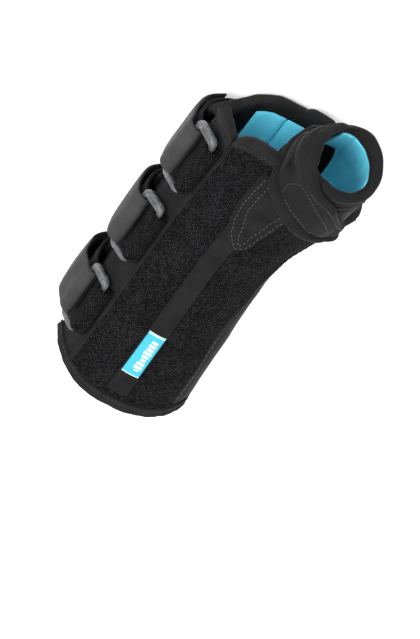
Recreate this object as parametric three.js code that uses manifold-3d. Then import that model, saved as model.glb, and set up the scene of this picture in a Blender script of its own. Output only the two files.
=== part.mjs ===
// Wrist-and-thumb splint for a right hand, lying on its back, closed as if it were worn.
// Millimetres. +X runs from the forearm to the fingers, +Z out of the palm side,
// +Y to the little-finger side, where three straps pass through three rings.
import * as THREE from 'three';
import { mergeVertices } from 'three/addons/utils/BufferGeometryUtils.js';
import Module from 'manifold-3d';

const wasm = await Module();
wasm.setup();

// ---- the sleeve's inner surface -------------------------------------------------------------
// Each section is a superellipse: half widths to the little finger (ULNAR) and to the thumb
// (RADIAL), and the heights of the back and of the palm side.
const STATIONS = [0, 60, 100, 125, 150, 175, 192, 212];
const ULNAR = [43.5, 43, 43, 43, 42.5, 42, 41.5, 41];
const RADIAL = [45, 40, 37, 37, 42, 50, 53, 51.5];
const BACK = [7.9, 9.4, 10.6, 11, 10.4, 9, 8.2, 7.6];
const PALM = [75.5, 64.5, 56, 52, 51, 52.4, 53.8, 55];
const SQUARENESS = 2.4;

// ---- layers, as offsets outward from that surface -------------------------------------------
const LINER = [0, 2.0];
const SHELL = [2.3, 4.8];
const STAY = [5.1, 6.3];
const COVER = [6.6, 7.7];
const BACK_COVER = [6.6, 8.6];
const LABEL = [8.0, 8.6];
const BINDING_OUT = [5.1, 6.2];
const BINDING_IN = [-1.5, -0.4];

// ---- where the pieces lie round the sleeve, in degrees from the palm's middle ---------------
const RADIAL_SEAM = -100;
const PALM_SEAM = 40;
const FRONT_EDGE = 74;
const BACK_EDGE = 98;
const TONGUE = [62, 118];
const POCKET = [-8, 4];
const PALM_STAY = { around: [-6, 2.5], along: [14, 146] };
const BACK_STAY = { around: [171, 190], along: [14, 186] };
const THUMB_STAY = { around: [-22, -14], along: [148, 184] };
const BACK_POCKET = { around: [167.5, 194], along: [11, 190] };
const LABEL_PLACE = { around: [-6.8, 3.2], along: [26, 61] };
const TONGUE_ALONG = [12, 184];
const STEP = 7;
const SLIT = 0.4;

// ---- rings, tabs and straps ------------------------------------------------------------------
const RING_X = [46.7, 110.4, 172.6];
const RING_ANGLE = 60;
const RING_LIFT = 9.2;
const RING_LENGTH = 46;
const RING_WIDTH = 19;
const RING_BAR = 3.6;
const RING_THICK = 3;
const WEBBING = 37;
const TAB_THICK = 1.6;
const STRAP_THICK = 1.8;
const STRAP_LOW = 7.6;
const STRAP_HIGH = [14.6, 12, 10.9];
const STRAP_SEWN = 165;
const STRAP_END = 130;
const STRAP_END_LIFT = 11;
const HOOK = [8.85, 9.4];
const HOOK_SPAN = [115, 127];

// ---- the thumb sleeve ------------------------------------------------------------------------
const THUMB_RIM = new THREE.Vector3(227.9, -23.2, 56);
const THUMB_AXIS = new THREE.Vector3(0.9, 0, 0.43).normalize();
const THUMB_SHELL_OUT = [[-34, 26.6], [-5, 22.7]];
const THUMB_WALL = 2.4;
const THUMB_LINER = 2;
const THUMB_RIM_MAJOR = 20.2;
const THUMB_RIM_MINOR = 4.2;
const THUMB_TAB = [-56, 68];
const THUMB_TAB_THICK = 2.6;
const TAB_HOOK = [8.05, 8.75];
const TAB_HOOK_PLACE = { around: [-32, -16], along: [175, 184] };
const CLEAR = 0.35;

// The model's origin: under the middle of the whole object, at the surface that it lies on.
const ORIGIN = new THREE.Vector3(117.246, 0.051, 0);

// ---- materials -------------------------------------------------------------------------------
const paint = (color, roughness, metalness = 0) =>
  () => new THREE.MeshStandardMaterial({ color, roughness, metalness });
const loopMesh = paint(0x1b1b1d, 0.95);
const smoothKnit = paint(0x28282b, 0.85);
const blueLining = paint(0x58c6e0, 0.9);
const edgeTape = paint(0x1d1d20, 0.8);
const webbing = paint(0x3a3a3e, 0.8);
const ringPlastic = paint(0x808488, 0.35);
const blueLabel = paint(0x5ac8e2, 0.6);
const hookTape = paint(0x18181a, 0.95);
const alloy = paint(0xb9bcc0, 0.4, 1);

const splint = new THREE.Group();

function piece(name, geometry, material) {
  const mesh = new THREE.Mesh(geometry, material());
  mesh.name = name;
  splint.add(mesh);
}

// ---- curves through stations -----------------------------------------------------------------
function through(xs, ys) {
  const last = xs.length - 1;
  const slope = (i) => {
    const a = Math.max(i - 1, 0);
    const b = Math.min(i + 1, last);
    return (ys[b] - ys[a]) / (xs[b] - xs[a]);
  };
  return (x) => {
    if (x <= xs[0]) return ys[0] + (x - xs[0]) * slope(0);
    if (x >= xs[last]) return ys[last] + (x - xs[last]) * slope(last);
    let i = 0;
    while (x > xs[i + 1]) i += 1;
    const h = xs[i + 1] - xs[i];
    const u = (x - xs[i]) / h;
    const start = ys[i] + u * h * slope(i);
    const end = ys[i + 1] - (1 - u) * h * slope(i + 1);
    const w = u * u * (3 - 2 * u);
    return start * (1 - w) + end * w;
  };
}
const ulnar = through(STATIONS, ULNAR);
const radial = through(STATIONS, RADIAL);
const back = through(STATIONS, BACK);
const palm = through(STATIONS, PALM);

// A point on the sleeve: x along it, angle round it (0 palm, 90 little finger), offset outward.
function skin(x, degrees, offset) {
  const angle = THREE.MathUtils.degToRad(degrees);
  const s = Math.sin(angle);
  const c = Math.cos(angle);
  const a = s >= 0 ? ulnar(x) : radial(x);
  const b = (palm(x) - back(x)) / 2;
  const power = 2 / SQUARENESS;
  const y = a * Math.sign(s) * Math.abs(s) ** power;
  const z = b * Math.sign(c) * Math.abs(c) ** power;
  const ny = (Math.sign(s) * Math.abs(s) ** (2 - power)) / a;
  const nz = (Math.sign(c) * Math.abs(c) ** (2 - power)) / b;
  const n = Math.hypot(ny, nz);
  const middle = (palm(x) + back(x)) / 2;
  return new THREE.Vector3(x, y + (offset * ny) / n, middle + z + (offset * nz) / n);
}

// ---- closed solids ---------------------------------------------------------------------------
function closed(points, faces) {
  const geometry = new THREE.BufferGeometry();
  geometry.setAttribute('position', new THREE.Float32BufferAttribute(points.flatMap((p) => p.toArray()), 3));
  let volume = 0;
  for (const [i, j, k] of faces) {
    volume += points[i].dot(new THREE.Vector3().crossVectors(points[j], points[k]));
  }
  const outward = volume > 0 ? faces : faces.map(([i, j, k]) => [i, k, j]);
  geometry.setIndex(outward.flat());
  return geometry;
}

// A plate with its own front and back: at(u, v, side) gives the point, side 0 inside, 1 outside.
function plate(nu, nv, at) {
  const points = [];
  const id = (i, j, side) => (i * (nv + 1) + j) * 2 + side;
  for (let i = 0; i <= nu; i += 1) {
    for (let j = 0; j <= nv; j += 1) {
      points.push(at(i / nu, j / nv, 0), at(i / nu, j / nv, 1));
    }
  }
  const faces = [];
  const quad = (a, b, c, d) => faces.push([a, b, c], [a, c, d]);
  for (let i = 0; i < nu; i += 1) {
    for (let j = 0; j < nv; j += 1) {
      quad(id(i, j, 1), id(i + 1, j, 1), id(i + 1, j + 1, 1), id(i, j + 1, 1));
      quad(id(i, j, 0), id(i, j + 1, 0), id(i + 1, j + 1, 0), id(i + 1, j, 0));
    }
    quad(id(i, 0, 0), id(i + 1, 0, 0), id(i + 1, 0, 1), id(i, 0, 1));
    quad(id(i, nv, 0), id(i, nv, 1), id(i + 1, nv, 1), id(i + 1, nv, 0));
  }
  for (let j = 0; j < nv; j += 1) {
    quad(id(0, j, 0), id(0, j, 1), id(0, j + 1, 1), id(0, j + 1, 0));
    quad(id(nu, j, 0), id(nu, j + 1, 0), id(nu, j + 1, 1), id(nu, j, 1));
  }
  return closed(points, faces);
}

// A closed loop of points, carried along: at(u) gives the loop at u from 0 to 1.
function loft(nu, at) {
  const loops = [];
  for (let i = 0; i <= nu; i += 1) loops.push(at(i / nu));
  const size = loops[0].length;
  const points = loops.flat();
  const faces = [];
  for (let i = 0; i < nu; i += 1) {
    for (let j = 0; j < size; j += 1) {
      const k = (j + 1) % size;
      const [a, b, c, d] = [i * size + j, i * size + k, (i + 1) * size + k, (i + 1) * size + j];
      faces.push([a, b, c], [a, c, d]);
    }
  }
  const cap = (start) => {
    const normal = new THREE.Vector3();
    for (let j = 0; j < size; j += 1) {
      normal.add(new THREE.Vector3().crossVectors(points[start + j], points[start + ((j + 1) % size)]));
    }
    const side = new THREE.Vector3(1, 0, 0).cross(normal.normalize());
    const u = side.lengthSq() > 0.01 ? side.normalize() : new THREE.Vector3(0, 1, 0);
    const v = new THREE.Vector3().crossVectors(normal, u);
    const flat = [];
    for (let j = 0; j < size; j += 1) {
      flat.push(new THREE.Vector2(points[start + j].dot(u), points[start + j].dot(v)));
    }
    return THREE.ShapeUtils.triangulateShape(flat, []).map((t) => t.map((n) => start + n));
  };
  const first = cap(0);
  const last = cap(nu * size);
  faces.push(...first.map(([a, b, c]) => [a, c, b]), ...last);
  return closed(points, faces);
}

// ---- joining and cutting ---------------------------------------------------------------------
function solid(geometry) {
  const bare = geometry.clone();
  bare.deleteAttribute('normal');
  bare.deleteAttribute('uv');
  const merged = mergeVertices(bare, 1e-4);
  return new wasm.Manifold(new wasm.Mesh({
    numProp: 3,
    vertProperties: new Float32Array(merged.attributes.position.array),
    triVerts: new Uint32Array(merged.index.array),
  }));
}
// The largest body that a cut leaves.
function largest(manifold) {
  const bodies = manifold.decompose();
  bodies.sort((a, b) => b.volume() - a.volume());
  const { vertProperties, triVerts } = bodies[0].getMesh();
  const geometry = new THREE.BufferGeometry();
  geometry.setAttribute('position', new THREE.BufferAttribute(vertProperties, 3));
  geometry.setIndex(new THREE.BufferAttribute(triVerts, 1));
  return geometry;
}

// ---- the sleeve's panels ---------------------------------------------------------------------
const palmEnd = through(
  [-100, -60, -8, 4, 13, 25, 35, 41],
  [203, 205, 208, 209.5, 210, 209, 205.5, 201],
);
const backEnd = through([98, 125, 140, 155, 175, 215, 235, 260], [189, 190, 195, 202, 206, 207, 206, 203]);
const ringPanelEnd = through([40, 52, 63, 74], [200, 204, 206, 207.5]);
const start = through(
  [-100, -60, -20, 0, 20, 40, 60, 74, 98, 120, 150, 180, 260],
  [0, -1, -4, -4.5, -3, 1, 5.5, 8, 8, 4.5, 1, 0, 0],
);

// A panel of the sleeve between two angles, two ends and two offsets.
function panel([from, to], first, last, [low, high], lengthSteps = 15) {
  const around = Math.max(2, Math.round((to - from) / STEP));
  return plate(around, lengthSteps, (u, v, side) => {
    const t = from + (to - from) * u;
    const x = first(t) + (last(t) - first(t)) * v;
    return skin(x, t, side ? high : low);
  });
}
const at = (x) => () => x;

// Edge binding: a folded tape over the panels' raw edges, inside and out.
const TAPE_OUT = 5.5;
const TAPE_IN = 5;
const TAPE_FOLD = 1.2;
function binding([from, to], edge, direction) {
  const profile = [
    [TAPE_OUT, BINDING_OUT[1]], [-TAPE_FOLD - SLIT, BINDING_OUT[1]],
    [-TAPE_FOLD - SLIT, BINDING_IN[0]], [TAPE_IN, BINDING_IN[0]],
    [TAPE_IN, BINDING_IN[1]], [-SLIT, BINDING_IN[1]],
    [-SLIT, BINDING_OUT[0]], [TAPE_OUT, BINDING_OUT[0]],
  ];
  return loft(Math.round((to - from) / STEP), (u) => {
    const t = from + (to - from) * u;
    return profile.map(([x, d]) => skin(edge(t) + direction * x, t, d));
  });
}

// ---- the thumb sleeve's own map: length along its axis, angle round it (0 palm), radius -------
const thumbPalm = new THREE.Vector3(-THUMB_AXIS.z, 0, THUMB_AXIS.x);
const thumbUlnar = new THREE.Vector3(0, 1, 0);
function thumb(length, degrees, radius) {
  const angle = THREE.MathUtils.degToRad(degrees);
  return THUMB_RIM.clone()
    .addScaledVector(THUMB_AXIS, length)
    .addScaledVector(thumbPalm, radius * Math.cos(angle))
    .addScaledVector(thumbUlnar, radius * Math.sin(angle));
}
const THUMB_SIDES = 32;
function thumbRing(profile) {
  const points = [];
  const size = profile.length;
  for (let i = 0; i < THUMB_SIDES; i += 1) {
    for (const [length, radius] of profile) points.push(thumb(length, (360 * i) / THUMB_SIDES, radius));
  }
  const faces = [];
  for (let i = 0; i < THUMB_SIDES; i += 1) {
    for (let j = 0; j < size; j += 1) {
      const next = (i + 1) % THUMB_SIDES;
      const k = (j + 1) % size;
      const [a, b, c, d] = [i * size + j, i * size + k, next * size + k, next * size + j];
      faces.push([a, b, c], [a, c, d]);
    }
  }
  return closed(points, faces);
}
const [[SHELL_BACK, SHELL_BACK_R], [SHELL_FRONT, SHELL_FRONT_R]] = THUMB_SHELL_OUT;
const shellRadius = (length) =>
  SHELL_BACK_R + ((SHELL_FRONT_R - SHELL_BACK_R) * (length - SHELL_BACK)) / (SHELL_FRONT - SHELL_BACK);
// Everything inside the thumb sleeve's outer skin, without a hollow, for cutting its way out.
const THUMB_REACH = 22;
const thumbRoom = solid(loft(1, (u) => {
  const length = SHELL_BACK - CLEAR + (THUMB_REACH - SHELL_BACK) * u;
  const loop = [];
  for (let i = 0; i < THUMB_SIDES; i += 1) {
    loop.push(thumb(length, (360 * i) / THUMB_SIDES, shellRadius(Math.min(length, SHELL_FRONT)) + 2 * CLEAR));
  }
  return loop;
}));
const aroundThumb = (geometry) => largest(solid(geometry).subtract(thumbRoom));

// ---- sleeve ------------------------------------------------------------------------------------
const shift = (edge, by) => (t) => edge(t) + by;
const BACK_SEAM = RADIAL_SEAM + 360 - 0.5;
const ringPanel = [PALM_SEAM + 0.3, FRONT_EDGE];
piece('palm_lining', aroundThumb(panel([RADIAL_SEAM, PALM_SEAM - 0.3], start, palmEnd, LINER)), blueLining);
piece('ring_panel_lining', panel([PALM_SEAM + 0.3, TONGUE[0] - 0.6], start, ringPanelEnd, LINER), blueLining);
piece('back_lining', panel([TONGUE[1] + 0.6, BACK_SEAM], start, backEnd, LINER), blueLining);
piece('tongue', panel(TONGUE, ...TONGUE_ALONG.map(at), LINER), smoothKnit);
piece('palm_panel', aroundThumb(panel([RADIAL_SEAM, PALM_SEAM - 0.3], start, palmEnd, SHELL)), loopMesh);
piece('ring_panel', panel(ringPanel, start, ringPanelEnd, SHELL), smoothKnit);
piece('back_panel', panel([BACK_EDGE, BACK_SEAM], start, backEnd, SHELL), loopMesh);

const tapeBack = [BACK_EDGE, BACK_SEAM];
piece('forearm_tape_palm', binding([RADIAL_SEAM, FRONT_EDGE], start, 1), edgeTape);
piece('forearm_tape_back', binding(tapeBack, start, 1), edgeTape);
piece('palm_edge_tape', aroundThumb(binding([-14, PALM_SEAM - 0.3], palmEnd, -1)), edgeTape);
piece('ring_panel_tape', binding(ringPanel, ringPanelEnd, -1), edgeTape);
piece('finger_edge_tape', binding(tapeBack, backEnd, -1), edgeTape);
piece('radial_edge_tape', aroundThumb(binding([RADIAL_SEAM, -76], palmEnd, -1)), edgeTape);

// ---- stays and their pockets, thumb patch, label ---------------------------------------------
const PATCH_START = 126;
const patchStart = through(
  [-42, -37, -32, -25, -14, -8, 4],
  [182, 175, 168, 149, 137, PATCH_START, PATCH_START],
);
const patch = (place, layer, lengthSteps) =>
  panel(place.around, at(place.along[0]), at(place.along[1]), layer, lengthSteps);
piece('palm_stay', patch(PALM_STAY, STAY, 20), alloy);
piece('palm_stay_pocket', panel(POCKET, at(9), at(PATCH_START - 3), COVER, 18), smoothKnit);
piece('label', patch(LABEL_PLACE, LABEL, 3), blueLabel);
piece('back_stay', patch(BACK_STAY, STAY, 15), alloy);
piece('thumb_stay', patch(THUMB_STAY, STAY, 4), alloy);
piece('thumb_patch', aroundThumb(panel([-42, 4], patchStart, shift(palmEnd, -9), COVER, 8)), smoothKnit);

// The pocket over the back stay is what the splint lies on: it is pressed flat at both ends.
const FLOOR = 0;
const FLOOR_DEPTH = 20;
const slab = new THREE.BoxGeometry(600, 300, FLOOR_DEPTH).translate(0, 0, FLOOR - FLOOR_DEPTH / 2);
const pocket = patch(BACK_POCKET, BACK_COVER, 15);
piece('back_stay_pocket', largest(solid(pocket).subtract(solid(slab))), smoothKnit);

// ---- rings, ring tabs and straps ---------------------------------------------------------------
function ringFrame(x) {
  const centre = skin(x, RING_ANGLE, RING_LIFT);
  const along = skin(x + 5, RING_ANGLE, RING_LIFT).sub(skin(x - 5, RING_ANGLE, RING_LIFT)).normalize();
  const across = skin(x, RING_ANGLE + 2, RING_LIFT).sub(skin(x, RING_ANGLE - 2, RING_LIFT));
  across.addScaledVector(along, -across.dot(along)).normalize();
  const out = new THREE.Vector3().crossVectors(along, across);
  if (out.z < 0) out.negate();
  return { centre, along, across, out };
}
// A point beside the ring: s along it, a across it towards the back, n outward.
const beside = (ring, s, a, n) => ring.centre.clone()
  .addScaledVector(ring.along, s).addScaledVector(ring.across, a).addScaledVector(ring.out, n);

// Webbing laid along a path across the ring; each path entry is {t, d} on the sleeve or {a, n}.
function ribbon(ring, path, thickness, samples, width = WEBBING) {
  return loft(2, (u) => {
    const s = (u - 0.5) * width;
    const x = ring.centre.x + s * ring.along.x;
    const knots = path.map((p) => ('t' in p ? skin(x, p.t, p.d) : beside(ring, s, p.a, p.n)));
    const line = new THREE.CatmullRomCurve3(knots, false, 'centripetal').getPoints(samples);
    const sideAt = (i) => {
      const before = line[Math.max(i - 1, 0)];
      const after = line[Math.min(i + 1, samples)];
      const n = new THREE.Vector3(0, before.z - after.z, after.y - before.y).normalize();
      return n.multiplyScalar(thickness / 2);
    };
    const outer = line.map((p, i) => p.clone().add(sideAt(i)));
    const inner = line.map((p, i) => p.clone().sub(sideAt(i)));
    return [...outer, ...inner.reverse()];
  });
}

function rounded(path, length, width, radius) {
  const [l, w] = [length / 2, width / 2];
  path.moveTo(-l + radius, -w);
  path.lineTo(l - radius, -w);
  path.absarc(l - radius, -w + radius, radius, -Math.PI / 2, 0);
  path.lineTo(l, w - radius);
  path.absarc(l - radius, w - radius, radius, 0, Math.PI / 2);
  path.lineTo(-l + radius, w);
  path.absarc(-l + radius, w - radius, radius, Math.PI / 2, Math.PI);
  path.lineTo(-l, -w + radius);
  path.absarc(-l + radius, -w + radius, radius, Math.PI, 1.5 * Math.PI);
  return path;
}
function ringSolid(ring) {
  const shape = rounded(new THREE.Shape(), RING_LENGTH, RING_WIDTH, 5);
  shape.holes.push(rounded(new THREE.Path(), RING_LENGTH - 2 * RING_BAR, RING_WIDTH - 2 * RING_BAR, 2.4));
  const geometry = new THREE.ExtrudeGeometry(shape, {
    depth: RING_THICK, bevelEnabled: false, curveSegments: 4,
  });
  geometry.translate(0, 0, -RING_THICK / 2);
  const turn = new THREE.Matrix4().makeBasis(ring.along, ring.across, ring.out);
  if (turn.determinant() < 0) {
    geometry.scale(1, -1, 1);
    turn.makeBasis(ring.along, ring.across.clone().negate(), ring.out);
  }
  geometry.applyMatrix4(turn).translate(...ring.centre.toArray());
  const welded = geometry.clone();
  welded.deleteAttribute('normal');
  welded.deleteAttribute('uv');
  return mergeVertices(welded, 1e-4);
}

const BAR_MID = RING_WIDTH / 2 - RING_BAR / 2;
const TURN_IN = BAR_MID - RING_BAR / 2 - 0.75;
for (const [i, x] of RING_X.entries()) {
  const number = i + 1;
  const ring = ringFrame(x);
  const tabLift = RING_THICK / 2 + 0.35 + TAB_THICK / 2;
  const tabPath = [
    { t: 41.2, d: 5.95 }, { a: -BAR_MID - 2, n: -tabLift - 0.8 }, { a: -BAR_MID, n: -tabLift - 0.1 },
    { a: -TURN_IN + 0.5, n: -2 }, { a: -TURN_IN + TAB_THICK / 2, n: 0 }, { a: -TURN_IN + 0.5, n: 2 },
    { a: -BAR_MID + 0.6, n: tabLift }, { a: -BAR_MID - 0.9, n: tabLift }, { a: -BAR_MID - 2.9, n: 2.1 },
    { a: -BAR_MID - 4, n: 0.6 }, { t: 41.2, d: 9.5 },
  ];
  const strapLift = RING_THICK / 2 + 0.35 + STRAP_THICK / 2;
  const leadPath = [
    { t: 85.4, d: STRAP_LOW }, { t: 95, d: STRAP_LOW }, { t: 110, d: STRAP_LOW }, { t: 130, d: STRAP_LOW },
    { t: 145, d: STRAP_LOW }, { t: 155, d: 6.6 }, { t: STRAP_SEWN, d: 6.1 },
  ];
  const loopPath = [
    { t: 84.6, d: STRAP_LOW }, { t: 79, d: STRAP_LOW }, { a: BAR_MID, n: -strapLift - 0.1 },
    { a: TURN_IN - 0.5, n: -2.2 }, { a: TURN_IN - STRAP_THICK / 2, n: 0 }, { a: TURN_IN - 0.5, n: 2.2 },
    { a: BAR_MID - 0.5, n: strapLift + 0.1 }, { a: BAR_MID + 1.5, n: strapLift },
  ];
  const high = STRAP_HIGH[i];
  const tailPath = [
    { a: BAR_MID + 2, n: strapLift }, { a: BAR_MID + 4.6, n: 1.7 }, { t: 85, d: high + 0.7 },
    { t: 93, d: high }, { t: 101, d: high - 0.2 }, { t: 108, d: (high + STRAP_END_LIFT) / 2 },
    { t: 115, d: STRAP_END_LIFT }, { t: STRAP_END, d: STRAP_END_LIFT },
  ];
  piece(`ring_${number}`, ringSolid(ring), ringPlastic);
  piece(`ring_tab_${number}`, ribbon(ring, tabPath, TAB_THICK, 30), loopMesh);
  piece(`strap_${number}_sewn_part`, ribbon(ring, leadPath, STRAP_THICK, 20), webbing);
  piece(`strap_${number}_turn`, ribbon(ring, loopPath, STRAP_THICK, 22), webbing);
  piece(`strap_${number}_free_end`, ribbon(ring, tailPath, STRAP_THICK, 22), webbing);
  const half = WEBBING / 2 - 2;
  piece(`strap_${number}_hook`, panel(HOOK_SPAN, at(x - half), at(x + half), HOOK, 2), hookTape);
}

// ---- thumb sleeve ------------------------------------------------------------------------------
const wall = (inner, outer, inside) => [
  [SHELL_BACK, SHELL_BACK_R - inner], [SHELL_BACK, SHELL_BACK_R - outer],
  [SHELL_FRONT, SHELL_FRONT_R - outer], [SHELL_FRONT, SHELL_FRONT_R - inner],
].map(([length, radius]) => [length + (inside && length === SHELL_BACK ? 1 : 0), radius]);
piece('thumb_sleeve', thumbRing(wall(THUMB_WALL, 0, false)), smoothKnit);
piece('thumb_lining', thumbRing(wall(THUMB_WALL + 0.3 + THUMB_LINER, THUMB_WALL + 0.3, true)), blueLining);
const rimProfile = [];
const RIM_SIDES = 10;
for (let i = 0; i < RIM_SIDES; i += 1) {
  const a = (2 * Math.PI * i) / RIM_SIDES;
  rimProfile.push([THUMB_RIM_MINOR * Math.sin(a), THUMB_RIM_MAJOR + THUMB_RIM_MINOR * Math.cos(a)]);
}
piece('thumb_rim', thumbRing(rimProfile), edgeTape);

// The tab wraps over the sleeve from behind the rim and lies on the patch on the palm.
const tabFront = through([-56, -50, -40, -30, -10, 10, 45, 146], [-33, -28, -24, -19, -8, -5, -5, -5]);
const tabBack = through(
  [-56, -50, -40, -25, 0, 20, 60, 76, 90, 108],
  [-39, -44, -47, -49, -49, -45, -34, -27, -16.5, -11],
);
const TAB_SPLIT = 45;
const TAB_GAP = 2.4;
const TAB_LIFT = 9.1;
const TAB_DROP = 1.6;
const TAB_DROP_X = 214;
function palmHeight(x, y, offset) {
  let [low, high] = [-89, 89];
  for (let i = 0; i < 24; i += 1) {
    const middle = (low + high) / 2;
    if (skin(x, middle, offset).y < y) low = middle;
    else high = middle;
  }
  return skin(x, low, offset).z;
}
function tabPart([from, to]) {
  return plate(Math.round((to - from) / 8), 6, (u, v, side) => {
    const angle = from + (to - from) * u;
    const length = tabBack(angle) + (tabFront(angle) - tabBack(angle)) * v;
    const raise = side ? THUMB_TAB_THICK : 0;
    const p = thumb(length, angle, shellRadius(length) + 0.4 + raise);
    const floor = palmHeight(p.x, p.y, TAB_LIFT + raise) - TAB_DROP * Math.max(0, p.x - TAB_DROP_X);
    return new THREE.Vector3(p.x, p.y, Math.max(p.z, floor));
  });
}
piece('thumb_tab', tabPart([THUMB_TAB[0], TAB_SPLIT - TAB_GAP]), smoothKnit);
piece('thumb_tab_base', tabPart([TAB_SPLIT + TAB_GAP, THUMB_TAB[1]]), smoothKnit);
piece('thumb_tab_hook', patch(TAB_HOOK_PLACE, TAB_HOOK, 2), hookTape);

splint.position.copy(ORIGIN).negate();
export default splint;
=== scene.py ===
"""Looks for the wrist splint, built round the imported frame. Shapes are in millimetres until make()."""

import math

import bpy
import numpy as np
from mathutils import Matrix, Vector


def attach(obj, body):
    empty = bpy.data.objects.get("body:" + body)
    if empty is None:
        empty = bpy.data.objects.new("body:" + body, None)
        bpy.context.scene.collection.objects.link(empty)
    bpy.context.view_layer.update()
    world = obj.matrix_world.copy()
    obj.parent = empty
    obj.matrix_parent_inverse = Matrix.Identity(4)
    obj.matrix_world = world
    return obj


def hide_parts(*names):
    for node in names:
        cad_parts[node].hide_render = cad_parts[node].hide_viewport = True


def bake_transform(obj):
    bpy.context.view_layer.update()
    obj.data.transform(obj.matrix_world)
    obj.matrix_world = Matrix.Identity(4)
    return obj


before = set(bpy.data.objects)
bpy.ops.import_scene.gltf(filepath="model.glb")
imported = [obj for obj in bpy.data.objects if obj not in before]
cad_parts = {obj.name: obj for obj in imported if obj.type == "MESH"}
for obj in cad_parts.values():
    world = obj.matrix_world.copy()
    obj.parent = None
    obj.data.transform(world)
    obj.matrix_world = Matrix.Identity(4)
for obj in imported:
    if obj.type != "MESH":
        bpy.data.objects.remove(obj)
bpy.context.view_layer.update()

MM = 0.001
ORIGIN = np.array([117.246, 0.051, 0.0])

# ---- the sleeve, as the CAD has it -------------------------------------------------------------
STATIONS = [0, 60, 100, 125, 150, 175, 192, 212]
ULNAR = [43.5, 43, 43, 43, 42.5, 42, 41.5, 41]
RADIAL = [45, 40, 37, 37, 42, 50, 53, 51.5]
BACK = [7.9, 9.4, 10.6, 11, 10.4, 9, 8.2, 7.6]
PALM = [75.5, 64.5, 56, 52, 51, 52.4, 53.8, 55]
SQUARENESS = 2.4
RADIAL_SEAM = -100
PALM_SEAM = 40
FRONT_EDGE = 74
BACK_EDGE = 98
BACK_SEAM = RADIAL_SEAM + 360
TONGUE = (62, 118)
POCKET = (-8, 4)

RING_X = (46.7, 110.4, 172.6)
RING_ANGLE = 60
RING_LIFT = 9.2
RING_LENGTH = 46
RING_WIDTH = 19
RING_BAR = 3.6
RING_THICK = 3
WEBBING = 37
TAB_THICK = 1.6
STRAP_THICK = 1.8
STRAP_LOW = 7.6
STRAP_HIGH = (14.6, 12, 10.9)
STRAP_END = 130
STRAP_END_LIFT = 11
BAR_MID = RING_WIDTH / 2 - RING_BAR / 2
TURN_IN = BAR_MID - RING_BAR / 2 - 0.75

THUMB_RIM = np.array([227.9, -23.2, 56.0])
THUMB_AXIS = np.array([0.9, 0, 0.43]) / math.hypot(0.9, 0.43)
THUMB_PALM = np.array([-THUMB_AXIS[2], 0, THUMB_AXIS[0]])
THUMB_ULNAR = np.array([0.0, 1, 0])
SHELL_BACK, SHELL_BACK_R = -34, 26.6
SHELL_FRONT, SHELL_FRONT_R = -5, 22.7
TAB_FROM = -57
THUMB_TUCK, TUCK_FROM, TUCK_OVER, TUCK_ANGLE = 6.0, 188, 14, 28


def smooth(u):
    """0 up to 0 and 1 from 1 on, with a smooth rise between them."""
    u = np.clip(u, 0, 1)
    return u * u * (3 - 2 * u)


def unit(v):
    return v / np.linalg.norm(v, axis=-1, keepdims=True)


def length_of(points):
    """The distance travelled along a line at each of its points."""
    return np.concatenate([[0], np.cumsum(np.linalg.norm(np.diff(points, axis=0), axis=1))])


def resampled(line, travelled, places):
    """The points at these distances along a line."""
    return np.stack([np.interp(places, travelled, column) for column in line.T], -1)


def circle(count):
    return np.linspace(0, 2 * np.pi, count, endpoint=False)


def pair(a, b):
    """Two coordinates side by side, over a whole grid."""
    return np.stack(np.broadcast_arrays(a, b), -1)


def grid(t0, t1, u, x0, x1, v):
    """Angles and lengths over a rectangle of the sleeve, at these shares of its sides."""
    return np.broadcast_arrays(t0 + (t1 - t0) * u[:, None], x0 + (x1 - x0) * v[None, :])


def through(xs, ys):
    """A smooth curve through stations, straight beyond both ends."""
    xs, ys = np.array(xs, float), np.array(ys, float)
    here = np.arange(len(xs))
    before, after = np.maximum(here - 1, 0), np.minimum(here + 1, len(xs) - 1)
    slope = (ys[after] - ys[before]) / (xs[after] - xs[before])

    def curve(x):
        x = np.asarray(x, float)
        i = np.clip(np.searchsorted(xs, x, side="left") - 1, 0, len(xs) - 2)
        h = xs[i + 1] - xs[i]
        u = (x - xs[i]) / h
        first = ys[i] + u * h * slope[i]
        second = ys[i + 1] - (1 - u) * h * slope[i + 1]
        return first * (1 - smooth(u)) + second * smooth(u)

    return curve


ulnar, radial = through(STATIONS, ULNAR), through(STATIONS, RADIAL)
back, palm = through(STATIONS, BACK), through(STATIONS, PALM)
palm_end = through([-100, -60, -8, 4, 13, 25, 35, 41], [203, 205, 208, 209.5, 210, 209, 205.5, 201])
ring_panel_end = through([40, 52, 63, 74], [200, 204, 206, 207.5])
back_end = through([98, 125, 140, 155, 175, 215, 235, 260], [189, 190, 195, 202, 206, 207, 206, 203])
start = through(
    [-100, -60, -20, 0, 20, 40, 60, 74, 98, 120, 150, 180, 260],
    [0, -1, -4, -4.5, -3, 1, 5.5, 8, 8, 4.5, 1, 0, 0],
)


def skin(x, degrees, offset):
    """A point on the sleeve: x along it, angle round it (0 palm, 90 little finger), offset outward."""
    x, degrees, offset = np.broadcast_arrays(*(np.asarray(v, float) for v in (x, degrees, offset)))
    s, c = np.sin(np.radians(degrees)), np.cos(np.radians(degrees))
    a = np.where(s >= 0, ulnar(x), radial(x))
    b = (palm(x) - back(x)) / 2
    power = 2 / SQUARENESS
    beside_thumb = np.exp(-((((degrees + 180) % 360 - 180 + 90) / TUCK_ANGLE) ** 2))
    offset = offset - THUMB_TUCK * np.clip((x - TUCK_FROM) / TUCK_OVER, 0, 1) * beside_thumb
    ny = np.sign(s) * np.abs(s) ** (2 - power) / a
    nz = np.sign(c) * np.abs(c) ** (2 - power) / b
    n = np.hypot(ny, nz)
    y = a * np.sign(s) * np.abs(s) ** power + offset * ny / n
    z = (palm(x) + back(x)) / 2 + b * np.sign(c) * np.abs(c) ** power + offset * nz / n
    return np.stack([x, y, z], -1)


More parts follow.
